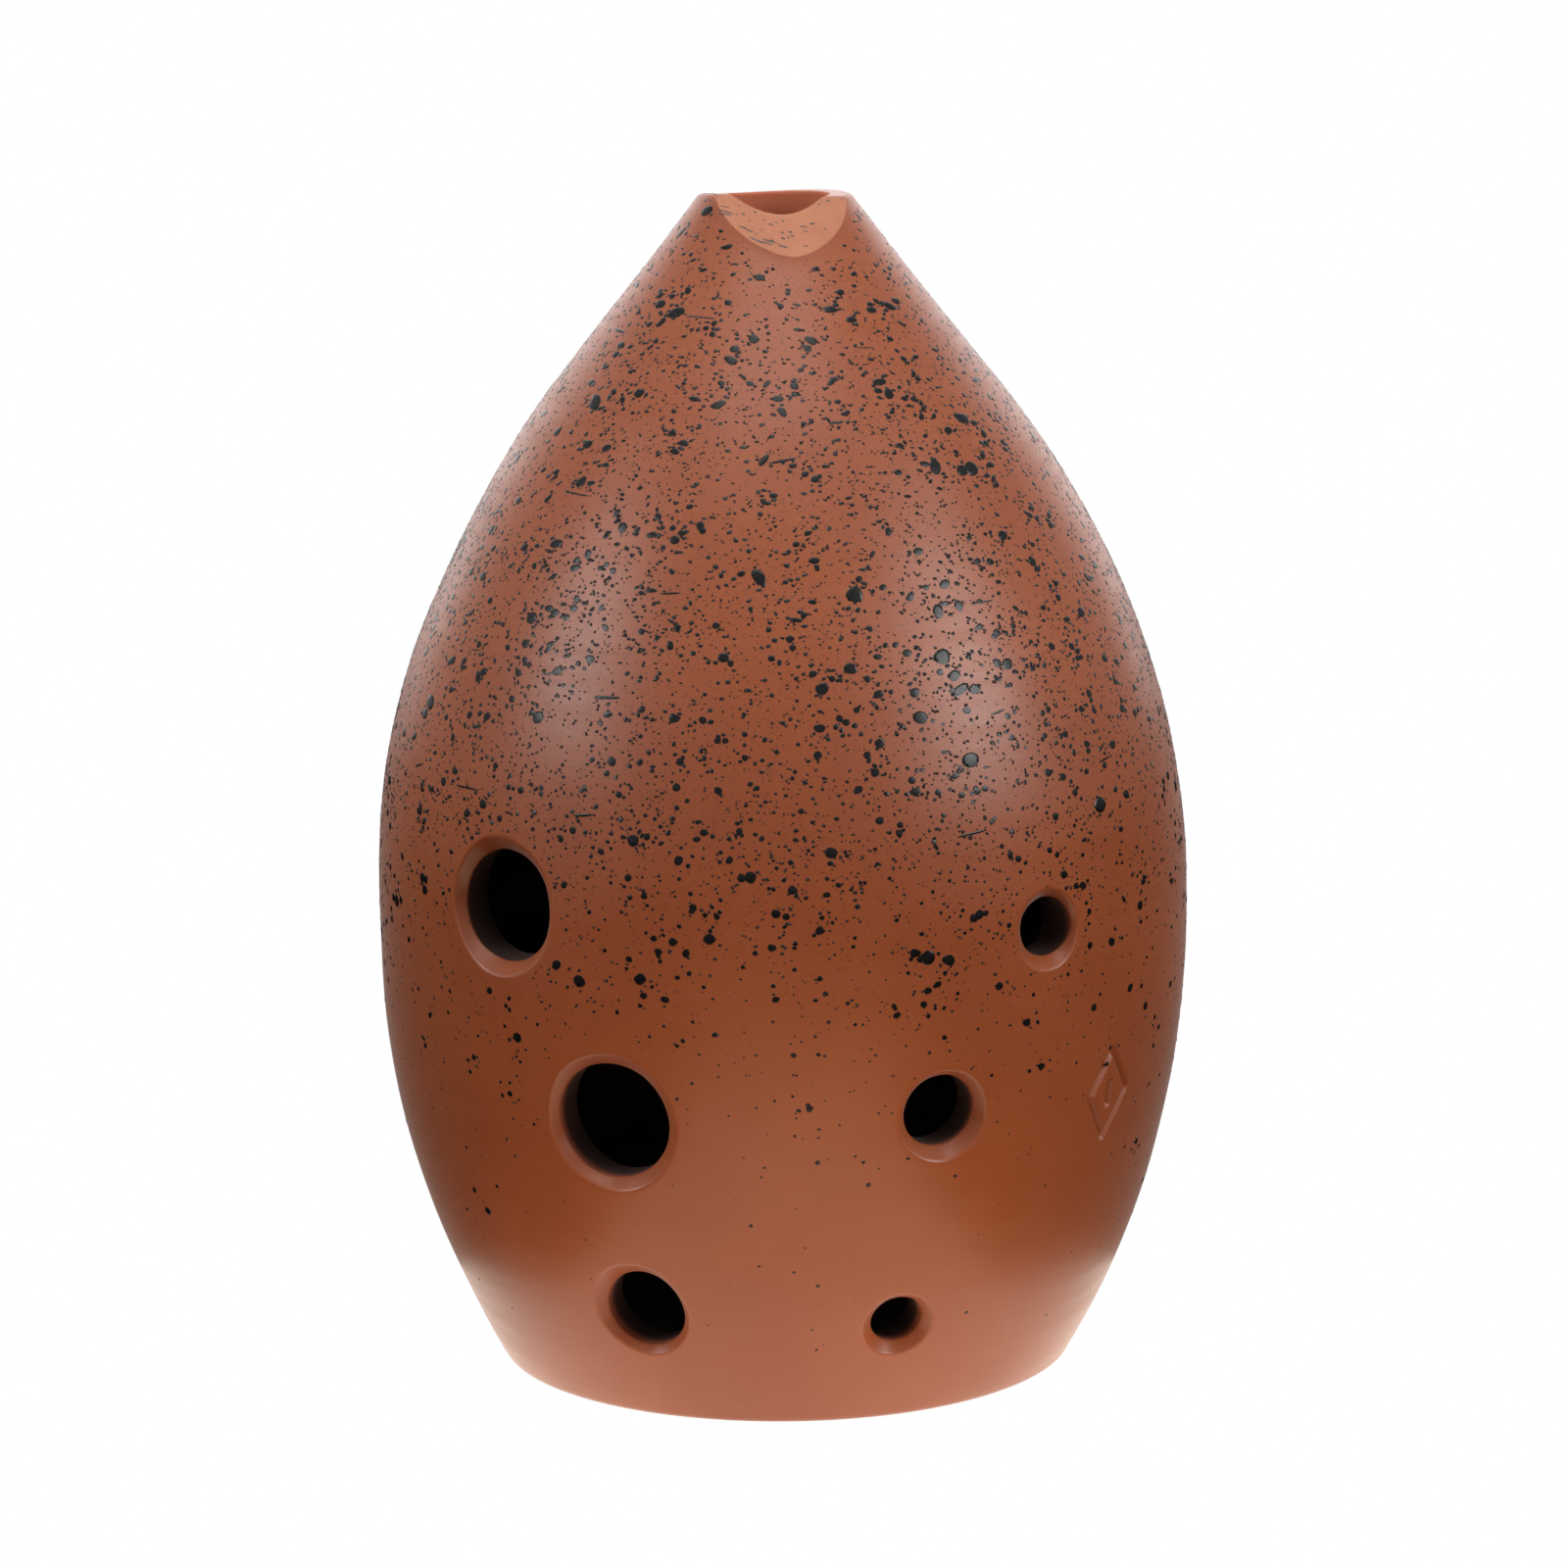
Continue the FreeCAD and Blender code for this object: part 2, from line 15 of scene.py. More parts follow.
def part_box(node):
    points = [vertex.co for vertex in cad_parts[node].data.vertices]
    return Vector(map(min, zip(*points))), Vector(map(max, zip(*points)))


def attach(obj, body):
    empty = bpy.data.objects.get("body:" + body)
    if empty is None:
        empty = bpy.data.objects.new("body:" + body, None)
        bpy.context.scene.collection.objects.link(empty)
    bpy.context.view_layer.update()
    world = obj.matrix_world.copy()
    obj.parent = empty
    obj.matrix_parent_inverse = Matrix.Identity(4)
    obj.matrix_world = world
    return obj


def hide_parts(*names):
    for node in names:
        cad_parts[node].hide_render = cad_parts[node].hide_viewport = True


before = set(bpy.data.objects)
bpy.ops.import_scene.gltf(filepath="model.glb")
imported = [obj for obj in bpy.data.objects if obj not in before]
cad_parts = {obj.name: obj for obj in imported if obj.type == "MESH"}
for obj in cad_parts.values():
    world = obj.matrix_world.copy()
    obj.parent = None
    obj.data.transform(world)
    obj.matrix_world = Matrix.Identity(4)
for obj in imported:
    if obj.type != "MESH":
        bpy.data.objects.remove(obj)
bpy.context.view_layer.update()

MM = 0.001
TAU = 2 * math.pi
RNG = np.random.default_rng(20)


def new_object(name, data):
    """Add an object to the scene."""
    thing = bpy.data.objects.new(name, data)
    bpy.context.scene.collection.objects.link(thing)
    return thing


def cad_box(node):
    """Lowest and highest corner of a CAD node, in millimetres."""
    low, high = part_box(node)
    return np.array(low) / MM, np.array(high) / MM


# ------------------------ sizes, in millimetres

HEIGHT = cad_box("upper_shell")[1][2]
SEAM = cad_box("lower_shell")[1][2]
SEAM_INNER = cad_box("upper_shell")[0][2]
FLOOR_RADIUS = cad_box("base_disc")[1][0]
FLOOR_TOP = cad_box("base_disc")[1][2]

# The outline: an arc each side of the belly, another beyond each break, a cone to the rim.
WALL = 6.0
BELLY_HEIGHT = 55.0
BELLY_RADIUS = 45.0
FOOT_ARC = 93.5
FLANK_BREAK = 40.0
FLANK_ARC = 185.0
SHOULDER_ARC = 75.0
SHOULDER_BREAK = 85.0
NECK_ARC = 120.0
RIM_RADIUS = 8.5
BELOW_FOOT = -3.0
CONE_END = 1.0
OUTLINE_STEPS = 400

# The mouth. Rises and twist are how far the hand-cut rim is from flat, per mm across it.
MOUTH_BORE = 6.0
RIM_LIFT = 0.2
RIM_RISE_RIGHT = -0.012
RIM_RISE_FRONT = 0.047
RIM_TWIST = 0.0065
RIM_CREASE = 0.12
NOTCH_SETBACK = 3.7
NOTCH_HOLLOW = 0.10
NOTCH_SLOPE = math.radians(31)
NOTCH_AZIMUTH = math.radians(10)

# Finger holes: middle of the bore at the wall (azimuth, height), bore radius, azimuth of the
# drill, and the hand-cut bevel (azimuth, height, radius).
HOLES = {
    "left_upper": (-41.6, 57.65, 5.95, -23, -42.3, 57.8, 7.8),
    "right_upper": (39.7, 55.0, 3.2, 34, 39.0, 54.95, 4.5),
    "left_middle": (-25.2, 35.6, 6.35, -20, -25.0, 35.65, 8.15),
    "right_middle": (22.3, 36.6, 4.0, 20, 22.4, 36.2, 5.3),
    "left_lower": (-24.0, 13.6, 4.45, -16, -24.4, 13.7, 6.0),
    "right_lower": (18.7, 12.4, 2.8, 17, 18.35, 12.0, 4.15),
    "thumb_left": (-152, 57.5, 5.2, -160, -152.5, 57.5, 6.4),
    "thumb_right": (152, 57.5, 4.6, 160, 152.5, 57.5, 5.8),
}

# The stamped tuning mark.
MARK_AZIMUTH = math.radians(53)
MARK_HEIGHT = 35.0
MARK_HALF_WIDTH, MARK_HALF_HEIGHT = 3.5, 5.0
MARK_BAR = 1.1
MARK_STROKE, MARK_DEPTH = 0.34, 0.40

# Material numbers of the bowls and the floor.
BURNISHED, CUT, INSIDE = 0, 1, 2


# ------------------------ outline of the pot

class Outline:
    """Radius-height curve of the pot, or of a surface a given depth inside its wall.

    length is the distance along the curve, and flat the height on a map that keeps angles,
    on which azimuth is the other coordinate.
    """

    def __init__(self, inset=0.0):
        flank = (BELLY_RADIUS - FLANK_ARC, BELLY_HEIGHT, FLANK_ARC)
        shoulder = (BELLY_RADIUS - SHOULDER_ARC, BELLY_HEIGHT, SHOULDER_ARC)
        foot = self.carry_on(flank, FLANK_BREAK, FOOT_ARC)
        neck = self.carry_on(shoulder, SHOULDER_BREAK, NECK_ARC)
        low = math.asin((BELOW_FOOT - foot[1]) / foot[2])
        flank_low = math.asin((FLANK_BREAK - BELLY_HEIGHT) / FLANK_ARC)
        shoulder_high = math.asin((SHOULDER_BREAK - BELLY_HEIGHT) / SHOULDER_ARC)
        to_rim = (RIM_RADIUS - neck[0], HEIGHT - neck[1])
        cone = math.atan2(to_rim[1], to_rim[0]) - math.acos(NECK_ARC / math.hypot(*to_rim))
        spans = ((foot, low, flank_low), (flank, flank_low, 0.0),
                 (shoulder, 0.0, shoulder_high), (neck, shoulder_high, cone))
        runs = []
        for (x, z, radius), start, end in spans:
            angle = np.linspace(start, end, OUTLINE_STEPS)
            runs.append(np.stack([x + (radius - inset) * np.cos(angle),
                                  z + (radius - inset) * np.sin(angle)], axis=1))
        top = runs[-1][-1]
        slant = (top[0] - CONE_END) / math.sin(cone)
        reach = np.linspace(0.0, slant, OUTLINE_STEPS)[1:, None]
        runs.append(top + reach * np.array([-math.sin(cone), math.cos(cone)]))
        points = np.concatenate([runs[0]] + [run[1:] for run in runs[1:]])
        self.r, self.z = points[:, 0], points[:, 1]
        step = np.hypot(np.diff(self.r), np.diff(self.z))
        middle = (self.r[1:] + self.r[:-1]) / 2
        self.s = np.concatenate([[0.0], np.cumsum(step)])
        self.v = np.concatenate([[0.0], np.cumsum(step / middle)])

    @staticmethod
    def carry_on(arc, height, radius):
        """The arc of another radius that continues an arc smoothly from a height."""
        x, z, old = arc
        angle = math.asin((height - z) / old)
        return (x + (old - radius) * math.cos(angle), z + (old - radius) * math.sin(angle),
                radius)

    def radius(self, z):
        return np.interp(z, self.z, self.r)

    def length(self, z):
        return np.interp(z, self.z, self.s)

    def height(self, length):
        return np.interp(length, self.s, self.z)

    def flat(self, z):
        return np.interp(z, self.z, self.v)


OUTER = Outline()
INNER = Outline(WALL)


# ------------------------ relief of the surface

LUMP_WAVES = [
    # direction (x, y, z), wavelength, height, phase
    ((0.9, 0.3, 0.3), 46.0, 0.11, 0.4),
    ((-0.4, 0.8, 0.5), 37.0, 0.09, 2.1),
    ((0.2, -0.6, 0.8), 31.0, 0.08, 4.0),
    ((0.7, 0.7, -0.2), 23.0, 0.035, 1.2),
    ((-0.8, 0.2, 0.6), 17.0, 0.02, 5.1),
    ((0.1, 0.2, 1.0), 13.0, 0.018, 3.3),
]


def lump(points):
    """How far the hand-smoothed clay stands proud of the thrown curve."""
    height = np.zeros(len(points))
    for direction, wavelength, swing, phase in LUMP_WAVES:
        unit = np.array(direction) / np.linalg.norm(direction)
        height += swing * np.sin(points @ unit * TAU / wavelength + phase)
    return height


def segment_distance(points, a, b):
    """Distance of flat points from a straight stroke."""
    along = np.subtract(b, a)
    share = np.clip((points - a) @ along / (along @ along), 0.0, 1.0)
    return np.linalg.norm(points - (a + share[:, None] * along), axis=1)


def mark_depth(across, up):
    """Depth of the stamped tuning mark: a plain lozenge round a short upright stroke."""
    points = np.stack([across, up], axis=1)
    corners = [(0.0, MARK_HALF_HEIGHT), (MARK_HALF_WIDTH, 0.0), (0.0, -MARK_HALF_HEIGHT),
               (-MARK_HALF_WIDTH, 0.0)]
    strokes = [(a, b, 1.6, MARK_DEPTH) for a, b in zip(corners, corners[1:] + corners[:1])]
    strokes.append(((0.0, MARK_BAR), (0.0, -MARK_BAR), 1.7, 1.3 * MARK_DEPTH))
    depth = np.zeros(len(points))
    for a, b, breadth, deep in strokes:
        gap = segment_distance(points, np.array(a), np.array(b))
        depth = np.maximum(depth, deep * np.clip(breadth - gap / MARK_STROKE, 0, 1))
    return depth


def mark_place(azimuth, z):
    """Place on the wall as (across, up) from the middle of the mark."""
    turn = (azimuth - MARK_AZIMUTH + math.pi) % TAU - math.pi
    return turn * OUTER.radius(z), OUTER.length(z) - OUTER.length(MARK_HEIGHT)


def full_turn(count):
    """Azimuths of a ring's points, from the back all the way round."""
    return np.linspace(-math.pi, math.pi, count, endpoint=False)


def polar(azimuth, z, radius):
    """Points at an azimuth, height and distance from the pot's axis."""
    azimuth, z, radius = np.broadcast_arrays(azimuth, z, radius)
    return np.stack([radius * np.sin(azimuth), -radius * np.cos(azimuth), z], axis=1)


def on_skin(azimuth, z):
    """Points of the finished outer surface."""
    azimuth, z = np.broadcast_arrays(np.asarray(azimuth, float), np.asarray(z, float))
    bare = polar(azimuth, z, OUTER.radius(z))
    proud = lump(bare) - mark_depth(*mark_place(azimuth, z))
    return polar(azimuth, z, OUTER.radius(z) + proud)


def on_lining(azimuth, z):
    """Points of the inner surface, with the ridges that throwing leaves."""
    azimuth, z = np.broadcast_arrays(np.asarray(azimuth, float), np.asarray(z, float))
    ridges = 0.12 * np.sin(z * TAU / 5.5 + azimuth)
    return polar(azimuth, z, INNER.radius(z) + ridges)


# ------------------------ mesh building

class Clay:
    """Collects the vertices and faces of one closed piece."""

    def __init__(self):
        self.blocks = []
        self.count = 0
        self.faces = []
        self.kinds = []

    def points(self, places):
        """Add vertices and return their numbers."""
        places = np.asarray(places, float)
        self.blocks.append(places)
        self.count += len(places)
        return np.arange(self.count - len(places), self.count)

    def place(self, numbers):
        """Places of the vertices with these numbers."""
        return np.concatenate(self.blocks)[numbers]

    def band(self, rings, kind):
        """Join closed rings of equal size; kind is a material, or one for each point."""
        kinds = np.broadcast_to(kind, len(rings[0])).tolist()
        for low, high in zip(rings, rings[1:]):
            self.faces += zip(low, np.roll(low, -1), np.roll(high, -1), high)
            self.kinds += kinds

    def skin(self, outline, surface, spacing, low, high, openings, kind, fine=None):
        """Fill a wall between a low and a high ring, leaving the openings' rings open.

        Rows of points cover the wall, and a Delaunay mesh on the angle-true map joins them.
        fine is an optional (test, points) pair for a patch with a closer mesh of its own.
        """
        map_points, numbers, edges = [], [], []

        def pin(azimuth, v, which, closed_by_turn):
            start = len(map_points)
            map_points.extend(zip(azimuth, v))
            numbers.extend(which)
            if closed_by_turn:
                map_points.append((math.pi, v[0]))
                numbers.append(which[0])
            return np.arange(start, len(map_points))

        borders = []
        for ring in (low, high):
            at = self.place(ring)
            azimuth = full_turn(len(ring))
            line = pin(azimuth, outline.flat(at[:, 2]), ring, True)
            edges.extend(zip(line[:-1], line[1:]))
            borders.append(np.array([map_points[i] for i in line]))
        loops = []
        for ring in openings:
            at = self.place(ring)
            azimuth = np.arctan2(at[:, 0], -at[:, 1])
            line = pin(azimuth, outline.flat(at[:, 2]), ring, False)
            edges.extend(zip(line, np.roll(line, -1)))
            loops.append(np.array([map_points[i] for i in line]))

        low_z, high_z = self.place(low)[:, 2].max(), self.place(high)[:, 2].max()
        lengths = (outline.length(low_z), outline.length(high_z))
        rows = max(2, round((lengths[1] - lengths[0]) / spacing))
        for length in np.linspace(*lengths, rows + 1)[1:-1]:
            z = float(outline.height(length))
            count = round(TAU * float(outline.radius(z)) / spacing)
            azimuth = full_turn(count)
            v = np.full(count, float(outline.flat(z)))
            margin = 0.55 * spacing / float(outline.radius(z))
            keep = v < np.interp(azimuth, *borders[1].T) - margin
            for loop in loops:
                keep &= gap_to_loop(azimuth, v, loop) > margin
            if fine is not None:
                keep &= ~fine[0](azimuth, np.full(count, z))
            if not keep.any():
                continue
            which = self.points(surface(azimuth[keep], z))
            pin(azimuth[keep], v[keep], which, bool(keep[0]))
        if fine is not None:
            azimuth, z = fine[1]
            pin(azimuth, outline.flat(z), self.points(surface(azimuth, z)), False)

        flat = [Vector(p) for p in map_points]
        links = [(int(a), int(b)) for a, b in edges]
        _, _, faces, sources, _, _ = delaunay_2d_cdt(flat, links, [], 0, 1e-7)
        faces = np.array([[sources[i][0] for i in face] for face in faces])
        middles = np.array(map_points)[faces].mean(axis=1)
        inside = middles[:, 1] < np.interp(middles[:, 0], *borders[1].T)
        inside &= middles[:, 1] > np.interp(middles[:, 0], *borders[0].T)
        for loop in loops:
            inside &= ~in_loop(middles, loop)
        numbers = np.array(numbers)
        for face in numbers[faces[inside]]:
            if len(set(face)) == 3:
                self.faces.append(tuple(face))
                self.kinds.append(kind)

    def finish(self, name, materials, smooth_angle=None):
        """Turn what was collected into an object."""
        mesh = bpy.data.meshes.new(name)
        places = np.concatenate(self.blocks) * MM
        used = np.unique(np.concatenate([np.array(face) for face in self.faces]))
        renumber = np.full(len(places), -1)
        renumber[used] = np.arange(len(used))
        faces = [tuple(int(renumber[i]) for i in face) for face in self.faces]
        mesh.from_pydata(places[used].tolist(), [], faces)
        mesh.polygons.foreach_set("material_index", self.kinds)
        mesh.polygons.foreach_set("use_smooth", [True] * len(faces))
        work = bmesh.new()
        work.from_mesh(mesh)
        bmesh.ops.recalc_face_normals(work, faces=work.faces)
        work.to_mesh(mesh)
        work.free()
        for material in materials:
            mesh.materials.append(material)
        if smooth_angle is not None:
            mesh.set_sharp_from_angle(angle=smooth_angle)
        return new_object(name, mesh)


def gap_to_loop(x, y, loop):
    """Distance of flat points from a loop's corners, negative inside it."""
    points = np.stack([x, y], axis=1)
    gap = np.linalg.norm(points[:, None] - loop[None], axis=2).min(axis=1)
    return np.where(in_loop(points, loop), -gap, gap)


def in_loop(points, loop):
    """Even-odd test of flat points against a closed loop."""
    near = np.linalg.norm(points - loop.mean(axis=0), axis=1)
    reach = np.linalg.norm(loop - loop.mean(axis=0), axis=1).max()
    result = np.zeros(len(points), bool)
    close = np.nonzero(near <= reach)[0]
    x, y = points[close, 0][:, None], points[close, 1][:, None]
    x0, y0 = loop[:, 0], loop[:, 1]
    x1, y1 = np.roll(x0, -1), np.roll(y0, -1)
    spans = (y0 > y) != (y1 > y)
    with np.errstate(divide="ignore", invalid="ignore"):
        cross = x0 + (y - y0) * (x1 - x0) / (y1 - y0)
    result[close] = (spans & (x < cross)).sum(axis=1) % 2 == 1
    return result


def rounded(before, corner, after, reach_before, reach_after, steps):
    """Rings that turn a corner between three rings of points as a soft curve."""
    def toward(other, reach):
        way = other - corner
        size = np.linalg.norm(way, axis=1, keepdims=True)
        return corner + way / size * np.minimum(reach, 0.45 * size)

    start, end = toward(before, reach_before), toward(after, reach_after)
    rings = []
    for share in np.linspace(0.0, 1.0, steps):
        rings.append((1 - share) ** 2 * start + 2 * share * (1 - share) * corner
                     + share ** 2 * end)
    return rings


# ------------------------ finger holes

HOLE_POINTS = 96
BEVEL_SLOPE = 0.95
BEVEL_BORDER = 0.55
# radius the wall is bent to from foot to shoulder, where the holes are
BEVEL_BEND = 110.0
BORE_FLARE = 1.2
# how far each corner's rounding reaches before and after it
BEVEL_EDGE_REACH = (0.28, 0.32)
LIP_REACH = (0.16, 0.22)
BORE_END_REACH = (0.5, 0.6)
BORE_SHARES = (0.35, 0.6, 0.8)


class FingerHole:
    """A drilled bore with a soft hand-cut bevel, as rings from the skin to the lining."""

    def __init__(self, numbers):
        azimuth, height, bore, drill, bevel_azimuth, bevel_height, bevel = numbers
        self.height, self.bore, self.bevel = height, bore, bevel
        azimuth, drill = math.radians(azimuth), math.radians(drill)
        self.bevel_azimuth, self.bevel_height = math.radians(bevel_azimuth), bevel_height
        self.outward = np.array([math.sin(drill), -math.cos(drill), 0.0])
        self.side = np.array([math.cos(drill), math.sin(drill), 0.0])
        self.offset = float(OUTER.radius(height)) * math.sin(azimuth - drill)
        self.turn = np.linspace(0.0, TAU, HOLE_POINTS, endpoint=False)
        self.phase = azimuth * 7 + height

    def on_wall(self, extra):
        """Ring on the skin, a distance outside the bevel's edge."""
        wobble = 1 + 0.014 * np.sin(2 * self.turn + self.phase)
        wobble += 0.008 * np.sin(5 * self.turn + 2 * self.phase)
        bend = np.cos(self.turn) ** 2 / BELLY_RADIUS + np.sin(self.turn) ** 2 / BEVEL_BEND
        reach = self.bevel * wobble
        reach = reach - bend * reach ** 2 / 2 + extra
        length = OUTER.length(self.bevel_height) + reach * np.sin(self.turn)
        z = OUTER.height(length)
        return on_skin(self.bevel_azimuth + reach * np.cos(self.turn) / OUTER.radius(z), z)

    def along_bore(self, radius, outline, relief):
        """Ring where a cylinder about the drill's axis meets an outline."""
        across = self.offset + radius * np.cos(self.turn)
        z = self.height + radius * np.sin(self.turn)
        wall = outline.radius(z)
        for _ in range(2):
            depth = np.sqrt(wall ** 2 - across ** 2)
            ring = (across[:, None] * self.side + depth[:, None] * self.outward)
            ring[:, 2] = z
            wall = outline.radius(z) + (lump(ring) if relief else 0.0)
        return ring

    def rings(self, clay):
        """Add the hole to a piece and return its rings on the skin and on the lining."""
        bore = self.bore * (1 + 0.006 * np.sin(3 * self.turn + self.phase))
        skin = self.on_wall(BEVEL_BORDER)
        edge = self.on_wall(0.0)
        above = self.along_bore(bore, OUTER, True)
        margin = np.linalg.norm(edge - above, axis=1)
        lip = above - (BEVEL_SLOPE * margin + 0.25)[:, None] * self.outward
        back = self.along_bore(bore, INNER, False)
        lining = self.along_bore(bore + BORE_FLARE, INNER, False)
        soft = [skin]
        soft += rounded(skin, edge, lip, *BEVEL_EDGE_REACH, 6)
        soft += [edge * 0.45 + lip * 0.55]
        soft += rounded(edge, lip, back, *LIP_REACH, 5)
        bore_rings = [lip + (back - lip) * share for share in BORE_SHARES]
        bore_rings += rounded(lip, back, lining, *BORE_END_REACH, 4)
        numbers = [clay.points(ring) for ring in soft + bore_rings + [lining]]
        bevel_end = len(soft) - 2
        clay.band(numbers[:bevel_end], BURNISHED)
        clay.band(numbers[bevel_end - 1:], INSIDE)
        return numbers[0], numbers[-1]


def drill_holes(clay, names):
    """Add finger holes to a piece; return their rings on the skin and on the lining."""
    pairs = [FingerHole(HOLES[name]).rings(clay) for name in names]
    return [pair[0] for pair in pairs], [pair[1] for pair in pairs]


# ------------------------ mouth and blowing notch

RIM_POINTS = 224
# rounding of the rim and of the blow hole's edge, and how much sharper both are on the facet
RIM_SOFTNESS, FACET_SHARPER = 0.6, 0.45
LIP_SOFTNESS, LIP_SHARPER = 0.4, 0.25
THROAT_SOFTNESS = 0.9


def facet_height(x, y):
    """Height of the notch's sliced facet, which falls away to the front."""
    forward = x * math.sin(NOTCH_AZIMUTH) - y * math.cos(NOTCH_AZIMUTH)
    across = x * math.cos(NOTCH_AZIMUTH) + y * math.sin(NOTCH_AZIMUTH)
    hollow = NOTCH_HOLLOW * (np.sqrt(across ** 2 + 1.0) - 2.4)
    return HEIGHT - (forward - NOTCH_SETBACK) * math.tan(NOTCH_SLOPE) + hollow


def rim_height(x, y):
    """Height of the rim, which is cut by hand and isn't quite flat or level."""
    return HEIGHT + RIM_LIFT + RIM_RISE_RIGHT * x - RIM_RISE_FRONT * y + RIM_TWIST * x * y


def top_height(x, y):
    """Height of the pot's top: the rim behind, the facet in front, one turning to the other."""
    rim, facet = rim_height(x, y), facet_height(x, y)
    return (rim + facet - np.sqrt((rim - facet) ** 2 + RIM_CREASE ** 2)) / 2


def facet_share(azimuth, radius):
    """1 where the top at a place is the facet, 0 where it is the rim."""
    x, y = radius * np.sin(azimuth), -radius * np.cos(azimuth)
    return np.clip((rim_height(x, y) - facet_height(x, y)) / 0.5, 0.0, 1.0)


def wall_top(azimuth, lowest, highest):
    """Height at which the pot's wall reaches its top, found between two heights."""
    low, high = np.full(len(azimuth), lowest), np.full(len(azimuth), highest)
    for _ in range(40):
        z = (low + high) / 2
        at = polar(azimuth, z, OUTER.radius(z))
        above = z > top_height(at[:, 0], at[:, 1])
        high, low = np.where(above, z, high), np.where(above, low, z)
    return z


def mouth_rings(clay):
    """Add the rim, the facet and the blow hole; return the rings that meet skin and lining."""
    azimuth = full_turn(RIM_POINTS)
    z = wall_top(azimuth, HEIGHT - 15.0, HEIGHT + 2.0)
    edge_length = OUTER.length(z)
    corner = on_skin(azimuth, z)
    corner_radius = np.hypot(corner[:, 0], corner[:, 1])
    on_facet = facet_share(azimuth, corner_radius - 0.3)
    softness = (RIM_SOFTNESS - FACET_SHARPER * on_facet)[:, None]
    skin = on_skin(azimuth, OUTER.height(edge_length - softness[:, 0] - 0.25))

    def top_ring(radius):
        x, y = radius * np.sin(azimuth), -radius * np.cos(azimuth)
        return np.stack([x, y, top_height(x, y)], axis=1)

    corner = top_ring(corner_radius)
    lip_facet = facet_share(azimuth, np.full(RIM_POINTS, MOUTH_BORE))
    lip_softness = (LIP_SOFTNESS - LIP_SHARPER * lip_facet)[:, None]
    lip = top_ring(np.full(RIM_POINTS, MOUTH_BORE))
    throat_z = float(np.interp(-MOUTH_BORE, -INNER.r, INNER.z))
    throat = polar(azimuth, throat_z, MOUTH_BORE)
    lining = on_lining(azimuth, np.full(RIM_POINTS, throat_z - 1.6))

    outside = [skin] + rounded(skin, corner, lip, softness, softness, 6)
    top = []
    for share in np.linspace(0.12, 0.88, 14):
        top.append(top_ring(corner_radius * (1 - share) + MOUTH_BORE * share))
    inside = rounded(corner, lip, throat, lip_softness, lip_softness, 5)
    inside += [lip + (throat - lip) * share for share in BORE_SHARES]
    inside += rounded(lip, throat, lining, THROAT_SOFTNESS, THROAT_SOFTNESS, 5)
    numbers = [clay.points(ring) for ring in outside + top + inside + [lining]]
    edge, lip_edge = len(outside) - 3, len(outside) + len(top) + 1
    middle = facet_share(azimuth, (corner_radius + MOUTH_BORE) / 2)
    clay.band(numbers[:edge + 1], BURNISHED)
    clay.band(numbers[edge:lip_edge + 1], np.where(middle > 0.3, CUT, BURNISHED))
    clay.band(numbers[lip_edge:], INSIDE)
    return numbers[0], numbers[-1]


# ------------------------ the two bowls

SKIN_SPACING = 0.95
LINING_SPACING = 2.2
MARK_SPACING = 0.17
SEAM_POINTS = 300
FOOT_POINTS = 240
SHARP_CLAY = math.radians(50)


def add_seam(clay):
    """Add the face at which the bowls are luted together; return its outer and inner ring."""
    azimuth = full_turn(SEAM_POINTS)
    outer = clay.points(on_skin(azimuth, SEAM))
    inner = clay.points(on_lining(azimuth, SEAM_INNER))
    clay.band([inner, outer], INSIDE)
    return outer, inner


def make_upper_shell():
    """Shoulder bowl, from the seam to the mouth."""
    clay = Clay()
    seam, seam_inner = add_seam(clay)
    skin_top, lining_top = mouth_rings(clay)
    names = ("left_upper", "right_upper", "thumb_left", "thumb_right")
    skin_rings, lining_rings = drill_holes(clay, names)
    clay.skin(OUTER, on_skin, SKIN_SPACING, seam, skin_top, skin_rings, BURNISHED)
    clay.skin(INNER, on_lining, LINING_SPACING, seam_inner, lining_top, lining_rings, INSIDE)
    return clay.finish("shoulder_bowl", CLAY_MATERIALS, SHARP_CLAY)


def mark_patch():
    """Test for places near the tuning mark, and the closer points laid over it."""
    reach_x, reach_y = MARK_HALF_WIDTH + 1.0, MARK_HALF_HEIGHT + 1.0
    across, up = np.meshgrid(np.arange(-reach_x, reach_x + MARK_SPACING, MARK_SPACING),
                             np.arange(-reach_y, reach_y + MARK_SPACING, MARK_SPACING))
    z = OUTER.height(OUTER.length(MARK_HEIGHT) + up.ravel())
    azimuth = MARK_AZIMUTH + across.ravel() / OUTER.radius(z)

    def near(azimuth, z):
        x, y = mark_place(azimuth, z)
        return (np.abs(x) < reach_x + 0.5) & (np.abs(y) < reach_y + 0.5)

    return near, (azimuth, z)


